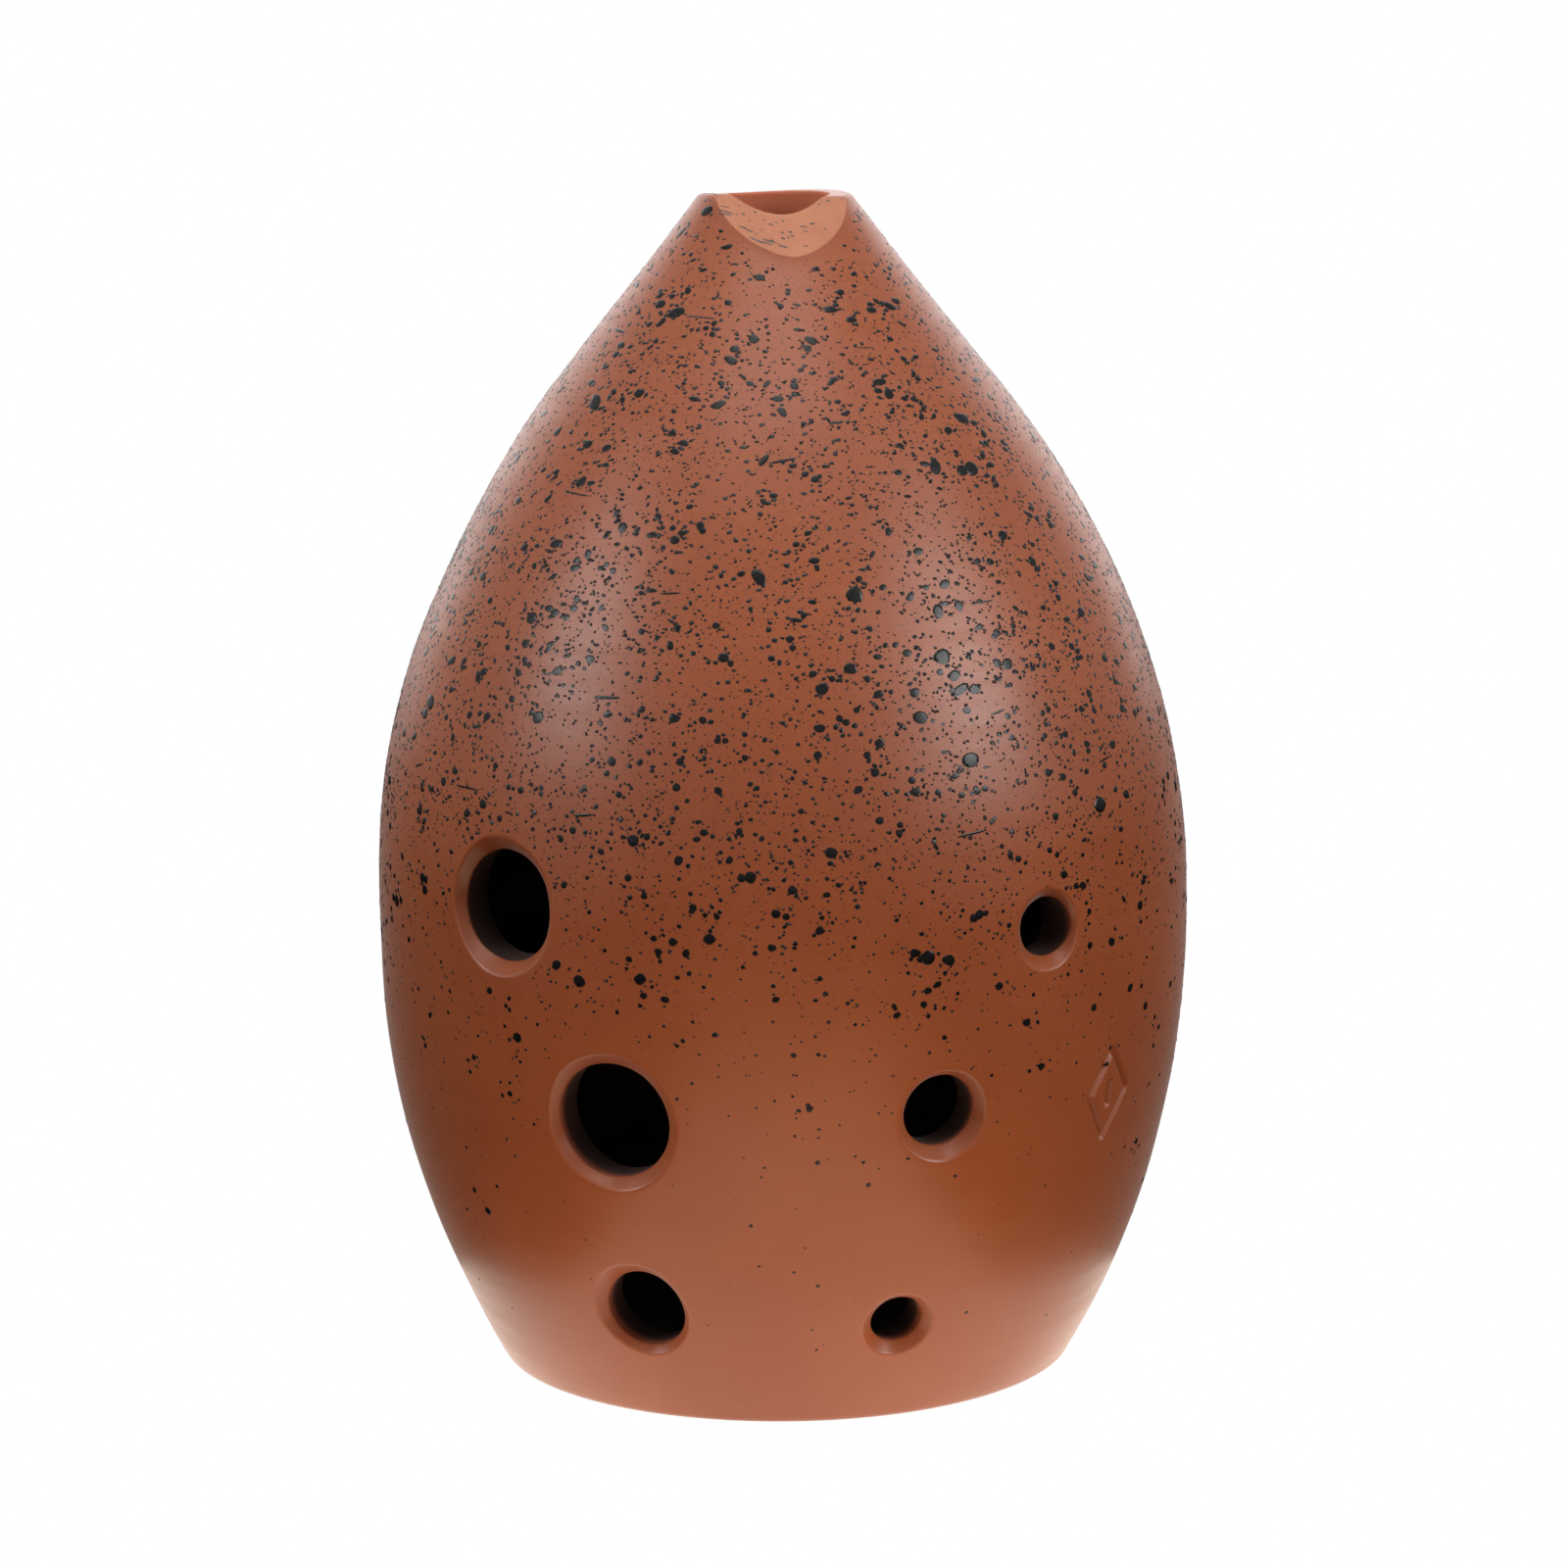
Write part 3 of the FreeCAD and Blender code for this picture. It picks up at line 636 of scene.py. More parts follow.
def make_lower_shell():
    """Belly bowl, from the foot and the seat of the floor to the seam."""
    clay = Clay()
    seam, seam_inner = add_seam(clay)

    azimuth = full_turn(FOOT_POINTS)
    skin = on_skin(azimuth, np.full(FOOT_POINTS, 1.5))
    foot_radius = float(OUTER.radius(0.0)) + 0.1 * np.sin(3 * azimuth + 1.0)
    foot = polar(azimuth, 0.0, foot_radius)
    flat = polar(azimuth, 0.0, FLOOR_RADIUS + 1.5)
    seat_edge = polar(azimuth, 0.0, FLOOR_RADIUS + 0.05)
    seat_top = polar(azimuth, FLOOR_TOP + 0.3, FLOOR_RADIUS + 0.05)
    lining = on_lining(azimuth, np.full(FOOT_POINTS, FLOOR_TOP + 1.2))
    rings = [skin] + rounded(skin, foot, flat, 0.9, 0.9, 6)
    rings += [polar(azimuth, 0.0, FLOOR_RADIUS + 3.0), flat]
    rings += rounded(flat, seat_edge, seat_top, 0.35, 0.35, 4) + [seat_top, lining]
    numbers = [clay.points(ring) for ring in rings]
    clay.band(numbers[:7], BURNISHED)
    clay.band(numbers[6:], CUT)

    names = ("left_middle", "right_middle", "left_lower", "right_lower")
    skin_rings, lining_rings = drill_holes(clay, names)
    clay.skin(OUTER, on_skin, SKIN_SPACING, numbers[0], seam, skin_rings, BURNISHED,
              mark_patch())
    clay.skin(INNER, on_lining, LINING_SPACING, numbers[-1], seam_inner, lining_rings, INSIDE)
    return clay.finish("belly_bowl", CLAY_MATERIALS, SHARP_CLAY)


def make_floor():
    """Slab floor with the shallow rings that trimming leaves under it."""
    clay = Clay()
    azimuth = full_turn(FOOT_POINTS)
    radii = np.linspace(FLOOR_RADIUS - 0.5, 0.6, 70)
    under = [polar(azimuth, 0.06 + 0.05 * math.cos(r * TAU / 1.9), r) for r in radii]
    edge = [polar(azimuth, z, r) for r, z in (
        (FLOOR_RADIUS - 0.15, 0.18), (FLOOR_RADIUS, 0.5), (FLOOR_RADIUS, FLOOR_TOP - 0.4),
        (FLOOR_RADIUS - 0.3, FLOOR_TOP))]
    top = [polar(azimuth, FLOOR_TOP - 0.03 + 0.03 * math.cos(r * TAU / 3.1), r)
           for r in np.linspace(FLOOR_RADIUS - 1.2, 0.8, 26)]
    numbers = [clay.points(ring) for ring in under[::-1] + edge + top]
    clay.band(numbers[:len(under) + 1], BURNISHED)
    clay.band(numbers[len(under):], INSIDE)
    for ring, kind in ((numbers[0], BURNISHED), (numbers[-1], INSIDE)):
        clay.faces.append(tuple(ring))
        clay.kinds.append(kind)
    return clay.finish("floor_slab", CLAY_MATERIALS)


# ------------------------ oxide spatter

DROPS_PER_MM2 = 1.75
SMALLEST_DROP = 0.18
FINE_SPREAD, COARSE_SPREAD = 0.12, 0.29
COARSE_SHARE = 0.25
LARGEST_DROP = 1.9
LARGE_DROP = 0.7
FINE_LIMIT = 0.45
SPECK_CORNERS = 5
SPATTER_FOOT = 9.0
DROP_LEAN, DROP_LEAN_SPREAD = math.radians(3), math.radians(20)
WILD_SHARE = 0.2
SPUR_SHARE = 0.12
DASHES = 50
DASHES_LOW, DASHES_HIGH = 66, 122
DASH_LEAN_SPREAD = math.radians(6)

# Smears on the facet: long ones near its outer edge, and small ones all over it.
LONG_SMEARS, SMALL_SMEARS = 9, 26
LONG_SMEAR_AZIMUTH, LONG_SMEAR_SPREAD = math.radians(-18), math.radians(16)
FACET_LEFT, FACET_RIGHT = math.radians(-34), math.radians(58)
SMEAR_LEAN, SMEAR_LEAN_SPREAD = math.radians(-14), math.radians(7)

# How thickly the spatter lies at a height, against its thickest.
SPATTER_BY_HEIGHT = ((0, 0.005), (25, 0.02), (40, 0.10), (50, 0.28), (58, 0.48), (66, 0.85),
                     (80, 0.95), (96, 1.0), (108, 0.95), (118, 0.8), (130, 0.45))


def near_hole(azimuth, z, extra):
    """True where a place on the skin lies in a finger hole or its bevel."""
    near = np.zeros(len(azimuth), bool)
    for *_, bevel_azimuth, bevel_height, bevel in HOLES.values():
        turn = (azimuth - math.radians(bevel_azimuth) + math.pi) % TAU - math.pi
        across = turn * OUTER.radius(z)
        up = OUTER.length(z) - OUTER.length(bevel_height)
        near |= np.hypot(across, up) < bevel + extra
    return near


def shifted(azimuth, z, across, up):
    """The place a distance across and up the wall from another."""
    new_z = OUTER.height(OUTER.length(z) + up)
    return azimuth + across / OUTER.radius(new_z), new_z


def scatter_drops():
    """Places, widths, stretch and lean of the spatter's drops."""
    length_low, length_high = OUTER.length(SPATTER_FOOT), OUTER.length(HEIGHT - 1.0)
    area = TAU * BELLY_RADIUS * (length_high - length_low)
    tries = RNG.poisson(DROPS_PER_MM2 * area)
    azimuth = RNG.uniform(-math.pi, math.pi, tries)
    z = OUTER.height(RNG.uniform(length_low, length_high, tries))
    patchy = 1 + 0.25 * np.sin(3 * azimuth + z / 9) * np.sin(z / 7 - 2 * azimuth)
    patchy += 0.2 * np.sin(11 * azimuth - z / 3) * np.sin(z / 2.7 + 7 * azimuth)
    chance = np.interp(z, *zip(*SPATTER_BY_HEIGHT)) * OUTER.radius(z) / BELLY_RADIUS * patchy
    keep = RNG.uniform(0, 1.2, tries) < chance
    azimuth, z = azimuth[keep], z[keep]
    coarse = RNG.uniform(0, 1, len(z)) < COARSE_SHARE
    spread = np.where(coarse, COARSE_SPREAD, FINE_SPREAD)
    width = np.minimum(SMALLEST_DROP + RNG.exponential(spread), LARGEST_DROP)

    # small drops that a large one threw off
    parents = np.nonzero(width > LARGE_DROP)[0]
    parents = np.repeat(parents, RNG.integers(0, 5, len(parents)))
    away = width[parents] / 2 + RNG.uniform(0.05, 1.1, len(parents))
    turn = RNG.uniform(0, TAU, len(parents))
    child_azimuth, child_z = shifted(azimuth[parents], z[parents], 1.3 * away * np.cos(turn),
                                     away * np.sin(turn))
    azimuth = np.concatenate([azimuth, child_azimuth])
    z = np.concatenate([z, child_z])
    width = np.concatenate([width, RNG.uniform(0.22, 0.6, len(parents))])

    streaky = np.clip((z - 62.0) / 45.0, 0.12, 1.0)
    stretch = np.minimum(1.08 + RNG.exponential(0.5, len(z)) * streaky, 3.6)
    lean = RNG.normal(DROP_LEAN, DROP_LEAN_SPREAD, len(z))
    wild = RNG.uniform(0, 1, len(z)) < WILD_SHARE
    lean = np.where(wild, RNG.uniform(-1.5, 1.5, len(z)), lean)

    dash_azimuth = RNG.uniform(-math.pi, math.pi, DASHES)
    dash_z = RNG.uniform(DASHES_LOW, DASHES_HIGH, DASHES)
    azimuth = np.concatenate([azimuth, dash_azimuth])
    z = np.concatenate([z, dash_z])
    width = np.concatenate([width, RNG.uniform(0.6, 1.1, DASHES)])
    stretch = np.concatenate([stretch, RNG.uniform(7, 22, DASHES)])
    lean = np.concatenate([lean, RNG.normal(DROP_LEAN, DASH_LEAN_SPREAD, DASHES)])

    clear = ~near_hole(azimuth, z, 0.1 + width / 2)
    top = polar(azimuth, z, OUTER.radius(z))
    clear &= z < top_height(top[:, 0], top[:, 1]) - 0.45 - width / 2
    return azimuth[clear], z[clear], width[clear], stretch[clear], lean[clear]


def drop_outline(width, stretch, lean, corners):
    """Outline of a dried drop: an uneven oval, sometimes with a spur."""
    angle = np.linspace(0, TAU, corners, endpoint=False)
    reach = np.ones(corners)
    for order, swing in ((2, 0.05), (3, 0.05), (4, 0.03)):
        reach += swing * RNG.normal() * np.cos(order * angle + RNG.uniform(0, TAU))
    if RNG.uniform() < SPUR_SHARE:
        spur = RNG.uniform(0, TAU)
        reach += 0.5 * np.exp((np.cos(angle - spur) - 1) * 14)
    reach = reach * width / 2
    across = reach * np.cos(angle) * math.sqrt(stretch)
    up = reach * np.sin(angle) / math.sqrt(stretch)
    return (across * math.cos(lean) - up * math.sin(lean),
            across * math.sin(lean) + up * math.cos(lean))


def add_drop(clay, lay, width, stretch, lean, kind):
    """Add a drop as a thin closed lens; lay turns (across, up, proud) into places."""
    large = width > LARGE_DROP
    corners = 12 if large else 9
    across, up = drop_outline(width, stretch, lean, corners)
    thickness = 0.02 + 0.022 * min(width, 1.2)
    profile = [(1.0, -0.02), (0.94, 0.6 * thickness)] if large else [(1.0, -0.02)]
    profile.append((0.6 if large else 0.8, thickness))
    rings = [clay.points(lay(across * share, up * share, np.full(corners, proud)))
             for share, proud in profile]
    clay.band(rings, kind)
    clay.faces += [tuple(rings[-1]), tuple(rings[0][::-1])]
    clay.kinds += [kind, kind]


def add_speck(clay, lay, width, stretch, lean, kind):
    """Add a speck as a small pointed bead."""
    across, up = drop_outline(width * 1.5, stretch, lean, SPECK_CORNERS)
    rim = clay.points(lay(across, up, np.full(SPECK_CORNERS, -0.015)))
    peak = clay.points(lay(np.zeros(1), np.zeros(1), np.full(1, 0.032)))[0]
    clay.faces += [(a, b, peak) for a, b in zip(rim, np.roll(rim, -1))]
    clay.faces.append(tuple(rim[::-1]))
    clay.kinds += [kind] * (SPECK_CORNERS + 1)


def skin_layer(azimuth, z):
    """How a drop at a place lies on the skin."""
    def lay(across, up, proud):
        turns, heights = shifted(azimuth, z, across, up)
        base = polar(turns, heights, OUTER.radius(heights))
        return polar(turns, heights, OUTER.radius(heights) + lump(base) + proud)

    return lay


def facet_layer(x, y):
    """How a smear at a place lies on the notch's facet."""
    def lay(across, up, proud):
        px, py = x + across, y + up
        return np.stack([px, py, top_height(px, py) + proud], axis=1)

    return lay


def facet_marks():
    """Places, widths, stretch and lean of the smears dragged over the facet."""
    turn = np.concatenate([
        RNG.normal(LONG_SMEAR_AZIMUTH, LONG_SMEAR_SPREAD, LONG_SMEARS),
        RNG.uniform(FACET_LEFT, FACET_RIGHT, SMALL_SMEARS)])
    edge = OUTER.radius(wall_top(turn, HEIGHT - 12.0, HEIGHT))
    reach = np.concatenate([RNG.uniform(0.62, 0.86, LONG_SMEARS),
                            RNG.uniform(0.12, 0.85, SMALL_SMEARS)])
    radius = MOUTH_BORE + (edge - MOUTH_BORE) * reach
    width = np.concatenate([RNG.uniform(0.45, 0.75, LONG_SMEARS),
                            RNG.uniform(0.22, 0.42, SMALL_SMEARS)])
    stretch = np.concatenate([RNG.uniform(4.0, 8.0, LONG_SMEARS),
                              1 + RNG.exponential(1.5, SMALL_SMEARS)])
    lean = RNG.normal(SMEAR_LEAN, SMEAR_LEAN_SPREAD, LONG_SMEARS + SMALL_SMEARS)
    return radius * np.sin(turn), -radius * np.cos(turn), width, stretch, lean


# Material numbers of the spatter.
BLACK, BROWN, SMEARED = 0, 1, 2


def make_spatter():
    """The coarse drops with the smears, and the fine specks, as two pieces."""
    drops, specks = Clay(), Clay()
    for azimuth, z, width, stretch, lean in zip(*scatter_drops()):
        lay = skin_layer(azimuth, z)
        if width > FINE_LIMIT:
            add_drop(drops, lay, width, stretch, lean, BLACK)
        else:
            kind = BROWN if RNG.uniform() < 0.6 - width else BLACK
            add_speck(specks, lay, width, stretch, lean, kind)
    for x, y, width, stretch, lean in zip(*facet_marks()):
        add_drop(drops, facet_layer(x, y), width, stretch, lean, SMEARED)
    materials = [DROP_BLACK, DROP_BROWN, DROP_SMEARED]
    return (drops.finish("oxide_drops", materials, math.radians(40)),
            specks.finish("oxide_specks", materials))


# ------------------------ materials

def new_material(name):
    """A material, its node tree and its shader node."""
    material = bpy.data.materials.new(name)
    material.use_nodes = True
    tree = material.node_tree
    shader = tree.nodes["Principled BSDF"]
    return material, tree, shader


# How fast the girth falls away from the belly, in metres: girth = belly - rise^2 / taper.
BELLY_TAPER = 0.206


class Nodes:
    """Short ways to add and link shader nodes."""

    def __init__(self, tree):
        self.tree = tree
        self.coords = tree.nodes.new("ShaderNodeTexCoord").outputs["Object"]

    def link(self, value, socket):
        """Lead another node's output, or a plain value, into a socket."""
        if hasattr(value, "is_linked"):
            self.tree.links.new(value, socket)
        else:
            socket.default_value = value

    def maths(self, operation, a, b=0.0):
        node = self.tree.nodes.new("ShaderNodeMath")
        node.operation = operation
        self.link(a, node.inputs[0])
        self.link(b, node.inputs[1])
        return node.outputs[0]

    def stretched(self, x, y, z):
        """Object coordinates with each axis scaled."""
        node = self.tree.nodes.new("ShaderNodeMapping")
        self.link(self.coords, node.inputs["Vector"])
        node.inputs["Scale"].default_value = (x, y, z)
        return node.outputs[0]

    def noise(self, size_mm, detail=2.0, roughness=0.5, coords=None):
        """Noise of a given grain size; its mean is about a half."""
        node = self.tree.nodes.new("ShaderNodeTexNoise")
        self.link(self.coords if coords is None else coords, node.inputs["Vector"])
        node.inputs["Scale"].default_value = 1 / (size_mm * MM)
        node.inputs["Detail"].default_value = detail
        node.inputs["Roughness"].default_value = roughness
        return node.outputs["Fac"]

    def cells(self, size_mm):
        """Distance to the nearest random dot, in cells, and two random numbers of its own."""
        node = self.tree.nodes.new("ShaderNodeTexVoronoi")
        self.link(self.coords, node.inputs["Vector"])
        node.inputs["Scale"].default_value = 1 / (size_mm * MM)
        split = self.tree.nodes.new("ShaderNodeSeparateColor")
        self.tree.links.new(node.outputs["Color"], split.inputs[0])
        return node.outputs["Distance"], split.outputs[0], split.outputs[1]

    def ramp(self, value, low, high, out_low=0.0, out_high=1.0, smooth=False):
        """Carry a value from one range to another, and hold it there."""
        node = self.tree.nodes.new("ShaderNodeMapRange")
        node.interpolation_type = "SMOOTHSTEP" if smooth else "LINEAR"
        self.link(value, node.inputs["Value"])
        for name, number in (("From Min", low), ("From Max", high),
                             ("To Min", out_low), ("To Max", out_high)):
            self.link(number, node.inputs[name])
        return node.outputs[0]

    def mix(self, share, a, b):
        """Blend two colours."""
        node = self.tree.nodes.new("ShaderNodeMix")
        node.data_type = "RGBA"
        self.link(share, node.inputs["Factor"])
        for value, socket in ((a, node.inputs["A"]), (b, node.inputs["B"])):
            self.link(value if hasattr(value, "is_linked") else (*value, 1.0), socket)
        return node.outputs["Result"]

    def bump(self, height_mm):
        """Normal of a surface with this fine relief."""
        node = self.tree.nodes.new("ShaderNodeBump")
        node.inputs["Distance"].default_value = MM
        self.link(height_mm, node.inputs["Height"])
        return node.outputs[0]

    def place(self):
        """Object coordinates, one by one."""
        split = self.tree.nodes.new("ShaderNodeSeparateXYZ")
        self.tree.links.new(self.coords, split.inputs[0])
        return split.outputs

    def height(self):
        return self.place()["Z"]

    def wall_depth(self):
        """Depth under the skin, near enough, from the foot up to the shoulder."""
        x, y, z = self.place()
        out = self.maths("ADD", self.maths("MULTIPLY", x, x), self.maths("MULTIPLY", y, y))
        rise = self.maths("SUBTRACT", z, BELLY_HEIGHT * MM)
        taper = self.maths("MULTIPLY", self.maths("MULTIPLY", rise, rise), 1 / BELLY_TAPER)
        girth = self.maths("SUBTRACT", BELLY_RADIUS * MM, taper)
        return self.maths("SUBTRACT", girth, self.maths("SQRT", out))

    def dots(self, size_mm, smallest, largest, presence):
        """Mask of small round dots; presence is the share of cells that hold one."""
        distance, size, chance = self.cells(size_mm)
        radius = self.ramp(size, 0.0, 1.0, smallest / size_mm, largest / size_mm)
        inner = self.maths("MULTIPLY", radius, 0.75)
        inside = self.ramp(distance, inner, radius, 1.0, 0.0)
        there = self.maths("LESS_THAN", chance, presence)
        return self.maths("MULTIPLY", inside, there)


def spatter_mask(nodes, share):
    """Share of cells that hold a dot, following the spatter up the pot."""
    z = nodes.height()
    rise = nodes.ramp(z, 40 * MM, 80 * MM, 0.03, 1.0, smooth=True)
    return nodes.maths("MULTIPLY", rise, share)


CLAY = (0.250, 0.059, 0.017)
CLAY_WARM = (0.272, 0.066, 0.019)
CLAY_DARK = (0.222, 0.050, 0.014)
PALE_DOT = (0.45, 0.21, 0.12)
MIST = (0.045, 0.015, 0.010)
CUT_DARK, CUT_LIGHT = (0.29, 0.103, 0.049), (0.36, 0.134, 0.067)
SAND = (0.50, 0.27, 0.17)
GRIT = (0.13, 0.05, 0.035)
LINING_DARK, LINING_LIGHT = (0.20, 0.050, 0.022), (0.28, 0.073, 0.033)
# Painted shade: the near black that the bores and the lining below the neck are darkened to
# with depth under the skin.
LINING_PAINTED_SHADE = (0.010, 0.005, 0.004)
LINING_MOUTH = (0.37, 0.092, 0.036)


def burnished_clay():
    """Polished terracotta with cloudy colour, a fine dark mist and faint polishing lines."""
    material, tree, shader = new_material("burnished_terracotta")
    nodes = Nodes(tree)
    cloud = nodes.ramp(nodes.noise(26.0, 4.0, 0.55), 0.32, 0.68)
    colour = nodes.mix(cloud, CLAY_DARK, CLAY_WARM)
    fleck = nodes.ramp(nodes.noise(1.3, 3.0, 0.65), 0.35, 0.65, 0.0, 0.35)
    colour = nodes.mix(fleck, colour, CLAY)
    pale = nodes.dots(3.2, 0.03, 0.13, 0.25)
    colour = nodes.mix(nodes.maths("MULTIPLY", pale, 0.5), colour, PALE_DOT)
    haze = nodes.dots(0.36, 0.05, 0.11, spatter_mask(nodes, 0.9))
    colour = nodes.mix(nodes.maths("MULTIPLY", haze, 0.85), colour, MIST)
    nodes.link(colour, shader.inputs["Base Color"])

    polish = nodes.noise(3.0, 3.0, 0.6, nodes.stretched(0.12, 0.12, 2.2))
    grain = nodes.noise(0.35, 2.0, 0.6)
    rough = nodes.ramp(polish, 0.3, 0.7, 0.34, 0.42)
    rough = nodes.maths("ADD", rough, nodes.ramp(grain, 0.3, 0.7, -0.03, 0.03))
    nodes.link(rough, shader.inputs["Roughness"])
    shader.inputs["Specular IOR Level"].default_value = 0.42
    shader.inputs["Sheen Weight"].default_value = 0.22
    shader.inputs["Sheen Roughness"].default_value = 0.3

    relief = nodes.maths("MULTIPLY", polish, 0.010)
    relief = nodes.maths("ADD", relief, nodes.maths("MULTIPLY", grain, 0.006))
    pits = nodes.dots(2.6, 0.04, 0.12, 0.35)
    relief = nodes.maths("SUBTRACT", relief, nodes.maths("MULTIPLY", pits, 0.02))
    nodes.link(nodes.bump(relief), shader.inputs["Normal"])
    return material


def cut_clay():
    """Clay sliced open at the notch and the foot: paler, matt and sandy."""
    material, tree, shader = new_material("cut_terracotta")
    nodes = Nodes(tree)
    cloud = nodes.ramp(nodes.noise(5.0, 4.0, 0.6), 0.3, 0.7)
    colour = nodes.mix(cloud, CUT_DARK, CUT_LIGHT)
    sand = nodes.dots(0.5, 0.04, 0.12, 0.3)
    colour = nodes.mix(nodes.maths("MULTIPLY", sand, 0.5), colour, SAND)
    grit = nodes.dots(0.9, 0.05, 0.14, 0.22)
    colour = nodes.mix(nodes.maths("MULTIPLY", grit, 0.6), colour, GRIT)
    nodes.link(colour, shader.inputs["Base Color"])
    grain = nodes.noise(0.25, 3.0, 0.65)
    nodes.link(nodes.ramp(grain, 0.3, 0.7, 0.62, 0.78), shader.inputs["Roughness"])
    shader.inputs["Specular IOR Level"].default_value = 0.3
    nodes.link(nodes.bump(nodes.maths("MULTIPLY", grain, 0.03)), shader.inputs["Normal"])
    return material


def inner_clay():
    """The unpolished lining and bores: painted shade makes them near black deep in the wall,
    and they are lighter near the mouth.
    """
    material, tree, shader = new_material("raw_terracotta")
    nodes = Nodes(tree)
    cloud = nodes.ramp(nodes.noise(9.0, 4.0, 0.6), 0.3, 0.7)
    colour = nodes.mix(cloud, LINING_DARK, LINING_LIGHT)
    # Painted shade: bores and lining below the neck fade to near black with depth under the
    # skin.
    deep = nodes.ramp(nodes.wall_depth(), 0.2 * MM, 2.0 * MM, 0.0, 0.9, smooth=True)
    below_neck = nodes.ramp(nodes.height(), 90 * MM, 110 * MM, 1.0, 0.0)
    colour = nodes.mix(nodes.maths("MULTIPLY", deep, below_neck), colour, LINING_PAINTED_SHADE)
    near_mouth = nodes.ramp(nodes.height(), 112 * MM, 122 * MM, 0.0, 0.9)
    colour = nodes.mix(near_mouth, colour, LINING_MOUTH)
    nodes.link(colour, shader.inputs["Base Color"])
    ridge = nodes.noise(2.0, 3.0, 0.6, nodes.stretched(0.15, 0.15, 1.5))
    nodes.link(nodes.ramp(ridge, 0.3, 0.7, 0.7, 0.85), shader.inputs["Roughness"])
    nodes.link(nodes.bump(nodes.maths("MULTIPLY", ridge, 0.08)), shader.inputs["Normal"])
    return material


def oxide(name, dark, light, rough_low, rough_high):
    """Dried oxide drops: near black, uneven in gloss."""
    material, tree, shader = new_material(name)
    nodes = Nodes(tree)
    cloud = nodes.ramp(nodes.noise(0.8, 3.0, 0.6), 0.3, 0.7)
    nodes.link(nodes.mix(cloud, dark, light), shader.inputs["Base Color"])
    grain = nodes.noise(0.15, 2.0, 0.6)
    nodes.link(nodes.ramp(grain, 0.3, 0.7, rough_low, rough_high), shader.inputs["Roughness"])
    shader.inputs["Specular IOR Level"].default_value = 0.25
    nodes.link(nodes.bump(nodes.maths("MULTIPLY", grain, 0.01)), shader.inputs["Normal"])
    return material


BURNISHED_CLAY = burnished_clay()
CUT_CLAY = cut_clay()
INNER_CLAY = inner_clay()
CLAY_MATERIALS = [BURNISHED_CLAY, CUT_CLAY, INNER_CLAY]
DROP_BLACK = oxide("oxide_black", (0.004, 0.0035, 0.0035), (0.009, 0.008, 0.008),
                   0.2, 0.34)
DROP_BROWN = oxide("oxide_brown", (0.014, 0.008, 0.007), (0.035, 0.014, 0.010), 0.35, 0.5)
DROP_SMEARED = oxide("oxide_grey", (0.045, 0.040, 0.042), (0.11, 0.070, 0.060),
                     0.5, 0.65)


# ------------------------ pieces

def settle(piece, slot, *replaced):
    """Hand a piece to the frame and hide the CAD nodes it stands for. slot is not used."""
    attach(piece, "root")
    if replaced:
        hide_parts(*replaced)


settle(make_upper_shell(), "burnished_clay", "upper_shell")
settle(make_lower_shell(), "burnished_clay", "lower_shell")
settle(make_floor(), "burnished_clay", "base_disc")
for spatter in make_spatter():
    settle(spatter, "oxide_spatter")
for coil in ("seam_coil", "base_coil"):
    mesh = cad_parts[coil].data
    mesh.materials.clear()
    mesh.materials.append(INNER_CLAY)


# ------------------------ floor, light and camera

LOOK_AT = Vector((0.0, 0.0, 64.4 * MM))
CAMERA_DISTANCE = 652 * MM
CAMERA_ELEVATION = math.radians(10.8)
CAMERA_ROLL = math.radians(0.73)
CAMERA_SHIFT = 0.002
LENS = 134.2
SENSOR = 36.0


def point_at(thing, target):
    """Turn a light or a camera to face a place."""
    thing.rotation_euler = (target - thing.location).to_track_quat("-Z", "Y").to_euler()


# name, azimuth, elevation, distance, width and height (metres), power (watts)
LIGHTS = (
    ("softbox_left", -70, 28, 1.1, (0.44, 0.50), 5.6),
    ("softbox_right", 62, 26, 1.1, (0.46, 0.52), 7.6),
    ("softbox_top", 0, 82, 1.2, (0.9, 0.9), 7.5),
    ("softbox_behind", 180, 60, 1.4, (1.4, 1.2), 8),
    ("backdrop_glow", 180, 14, 2.0, (3.4, 2.2), 34),
)


def add_light(name, azimuth, elevation, distance, size, power):
    """Soft box at a direction from the flute, unseen by the camera itself."""
    light = bpy.data.lights.new(name, "AREA")
    light.shape = "RECTANGLE"
    light.size, light.size_y = size
    light.energy = power
    holder = new_object(name, light)
    azimuth, elevation = math.radians(azimuth), math.radians(elevation)
    holder.location = LOOK_AT + distance * Vector((
        math.sin(azimuth) * math.cos(elevation),
        -math.cos(azimuth) * math.cos(elevation),
        math.sin(elevation)))
    point_at(holder, LOOK_AT)
    holder.visible_camera = False


ROOM_GLOW = 0.44
TABLE_GLOW = 1.75
CARD_GLOW = 1.85
WHITE = (1.0, 1.0, 1.0)
# A white table beside the flute takes on some of the clay's colour.
TABLE_TINT = (1.0, 0.92, 0.80)
CARD_TINT = (1.0, 0.78, 0.58)
# In metres: half widths of the round sheets, and the corners of the card in front.
STAGE_REACH = 8.0
GLOW_REACH = 0.05
CARD_CORNERS = ((-0.05, -0.14), (0.05, -0.14), (0.04, -0.03), (-0.04, -0.03))


def glow_material(name, strength, tint):
    """Plain sheet that gives out light."""
    material, _, shader = new_material(name)
    shader.inputs["Base Color"].default_value = (0, 0, 0, 1)
    shader.inputs["Specular IOR Level"].default_value = 0.0
    shader.inputs["Emission Color"].default_value = (*tint, 1.0)
    shader.inputs["Emission Strength"].default_value = strength
    return material


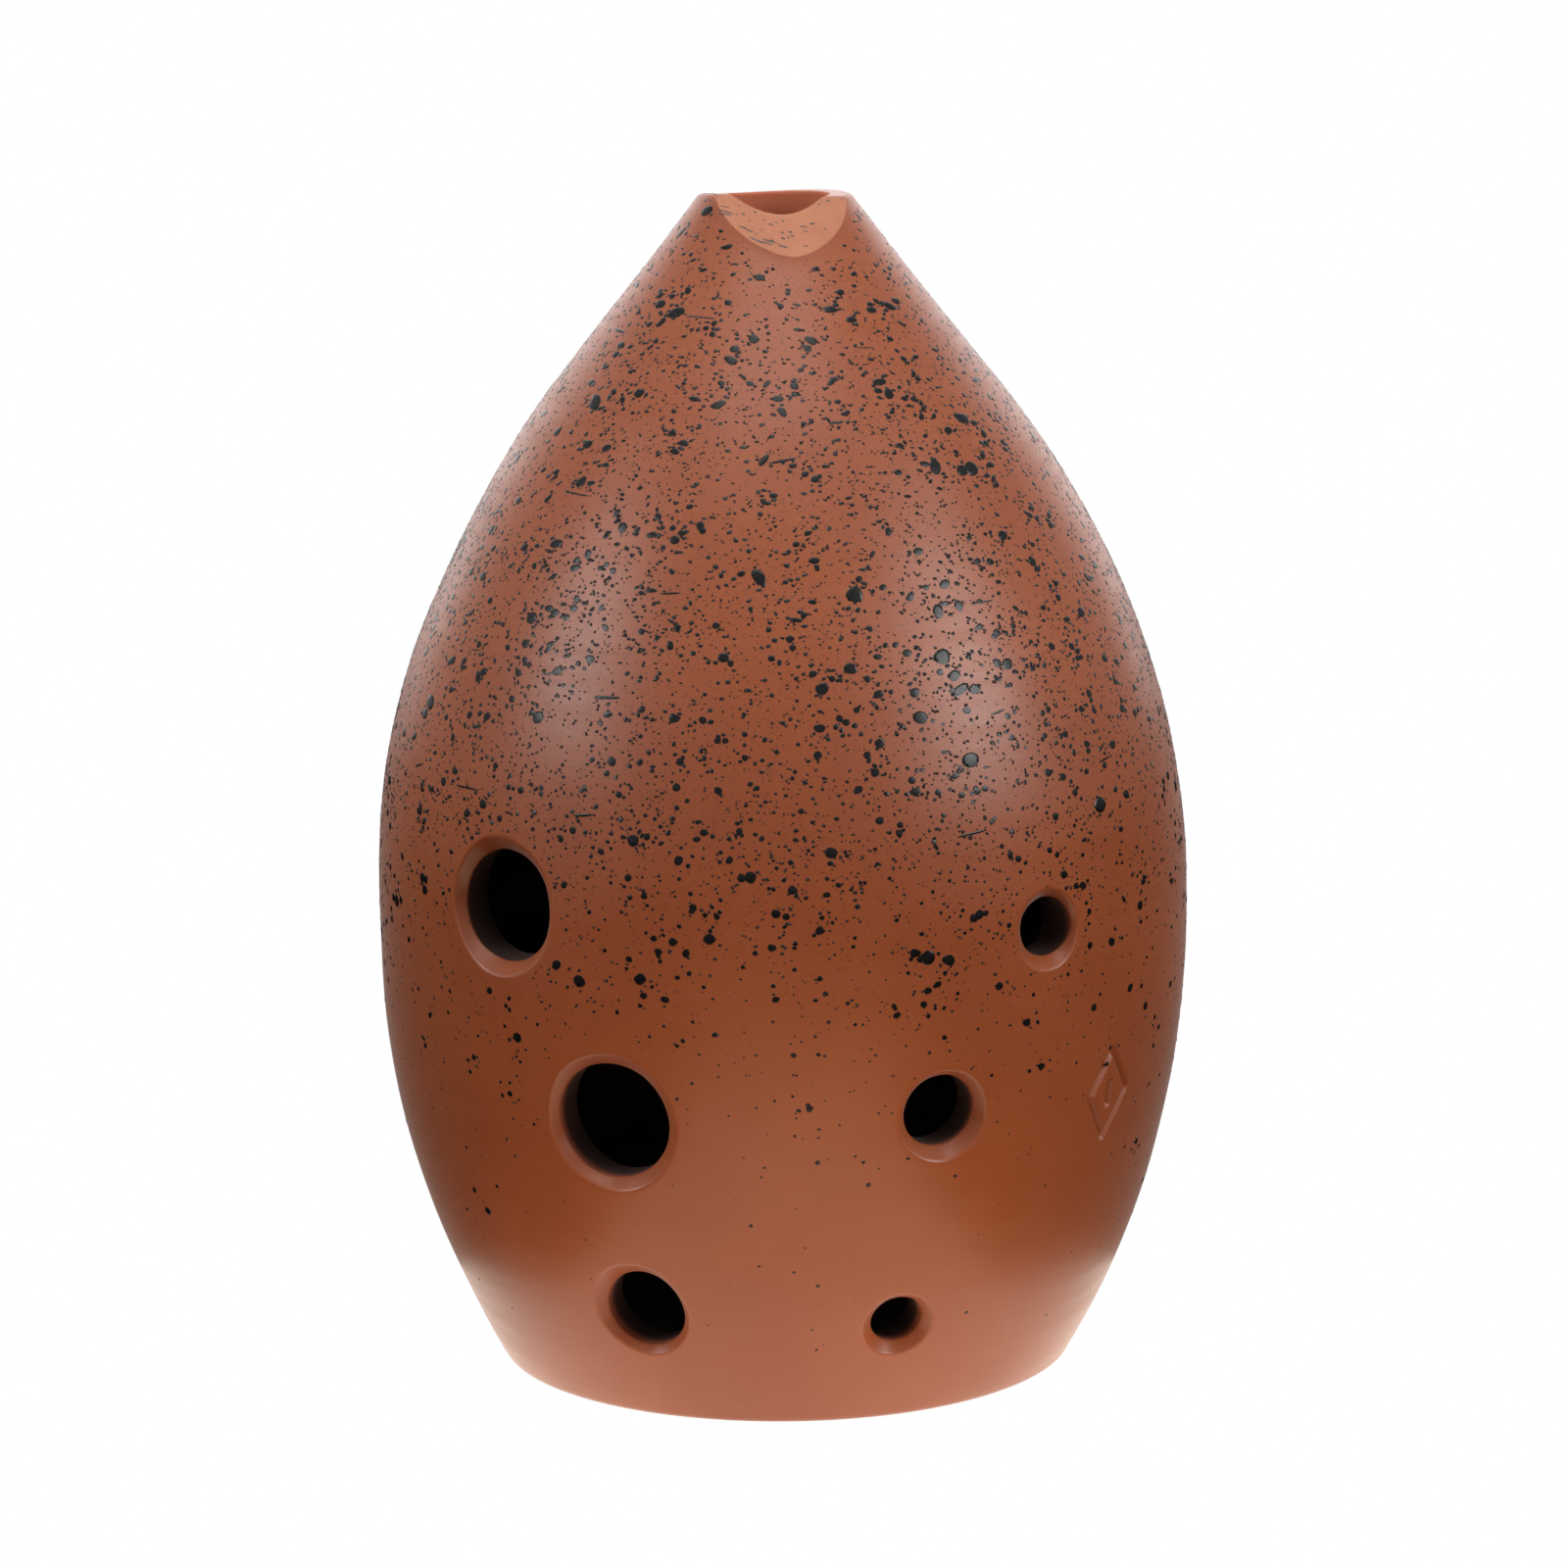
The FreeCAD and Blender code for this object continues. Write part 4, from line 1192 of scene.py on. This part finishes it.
def add_sheet(name, corners, height, strength, seen, tint=WHITE):
    """Flat sheet on the floor; it shows either to the camera or only to the flute."""
    mesh = bpy.data.meshes.new(name)
    mesh.from_pydata([(x, y, height) for x, y in corners], [], [tuple(range(len(corners)))])
    mesh.materials.append(glow_material(name, strength, tint))
    sheet = new_object(name, mesh)
    sheet.visible_camera = seen
    for light_path in ("diffuse", "glossy", "transmission", "shadow"):
        setattr(sheet, "visible_" + light_path, not seen)


def round_corners(radius):
    """Corners of a round sheet."""
    angle = np.linspace(0, TAU, 96, endpoint=False)
    return list(zip(radius * np.cos(angle), radius * np.sin(angle)))


def make_stage():
    """White floor and background for the camera, and a part-lit table to light the flute."""
    everywhere = round_corners(STAGE_REACH)
    add_sheet("studio_floor", everywhere, -0.1 * MM, 1.0, True)
    add_sheet("studio_glow", round_corners(GLOW_REACH), -0.2 * MM, TABLE_GLOW, False,
              TABLE_TINT)
    add_sheet("studio_card", CARD_CORNERS, -0.3 * MM, CARD_GLOW, False, CARD_TINT)
    add_sheet("studio_table", everywhere, -2 * MM, 0.0, False)
    world = bpy.data.worlds.new("studio")
    world.use_nodes = True
    tree = world.node_tree
    background = tree.nodes["Background"]
    path = tree.nodes.new("ShaderNodeLightPath")
    strength = tree.nodes.new("ShaderNodeMapRange")
    tree.links.new(path.outputs["Is Camera Ray"], strength.inputs["Value"])
    strength.inputs["To Min"].default_value = ROOM_GLOW
    strength.inputs["To Max"].default_value = 1.0
    tree.links.new(strength.outputs[0], background.inputs["Strength"])
    background.inputs["Color"].default_value = (1, 1, 1, 1)
    bpy.context.scene.world = world


def make_camera():
    """Camera of the photograph."""
    data = bpy.data.cameras.new("camera")
    data.lens = LENS
    data.sensor_width = SENSOR
    data.shift_x = CAMERA_SHIFT
    data.clip_start = 20 * MM
    camera = new_object("camera", data)
    camera.location = LOOK_AT + CAMERA_DISTANCE * Vector((
        0.0, -math.cos(CAMERA_ELEVATION), math.sin(CAMERA_ELEVATION)))
    point_at(camera, LOOK_AT)
    camera.rotation_euler.rotate_axis("Z", -CAMERA_ROLL)
    bpy.context.scene.camera = camera


make_stage()
make_camera()
for light in LIGHTS:
    add_light(*light)
bpy.context.scene.view_settings.view_transform = "Standard"
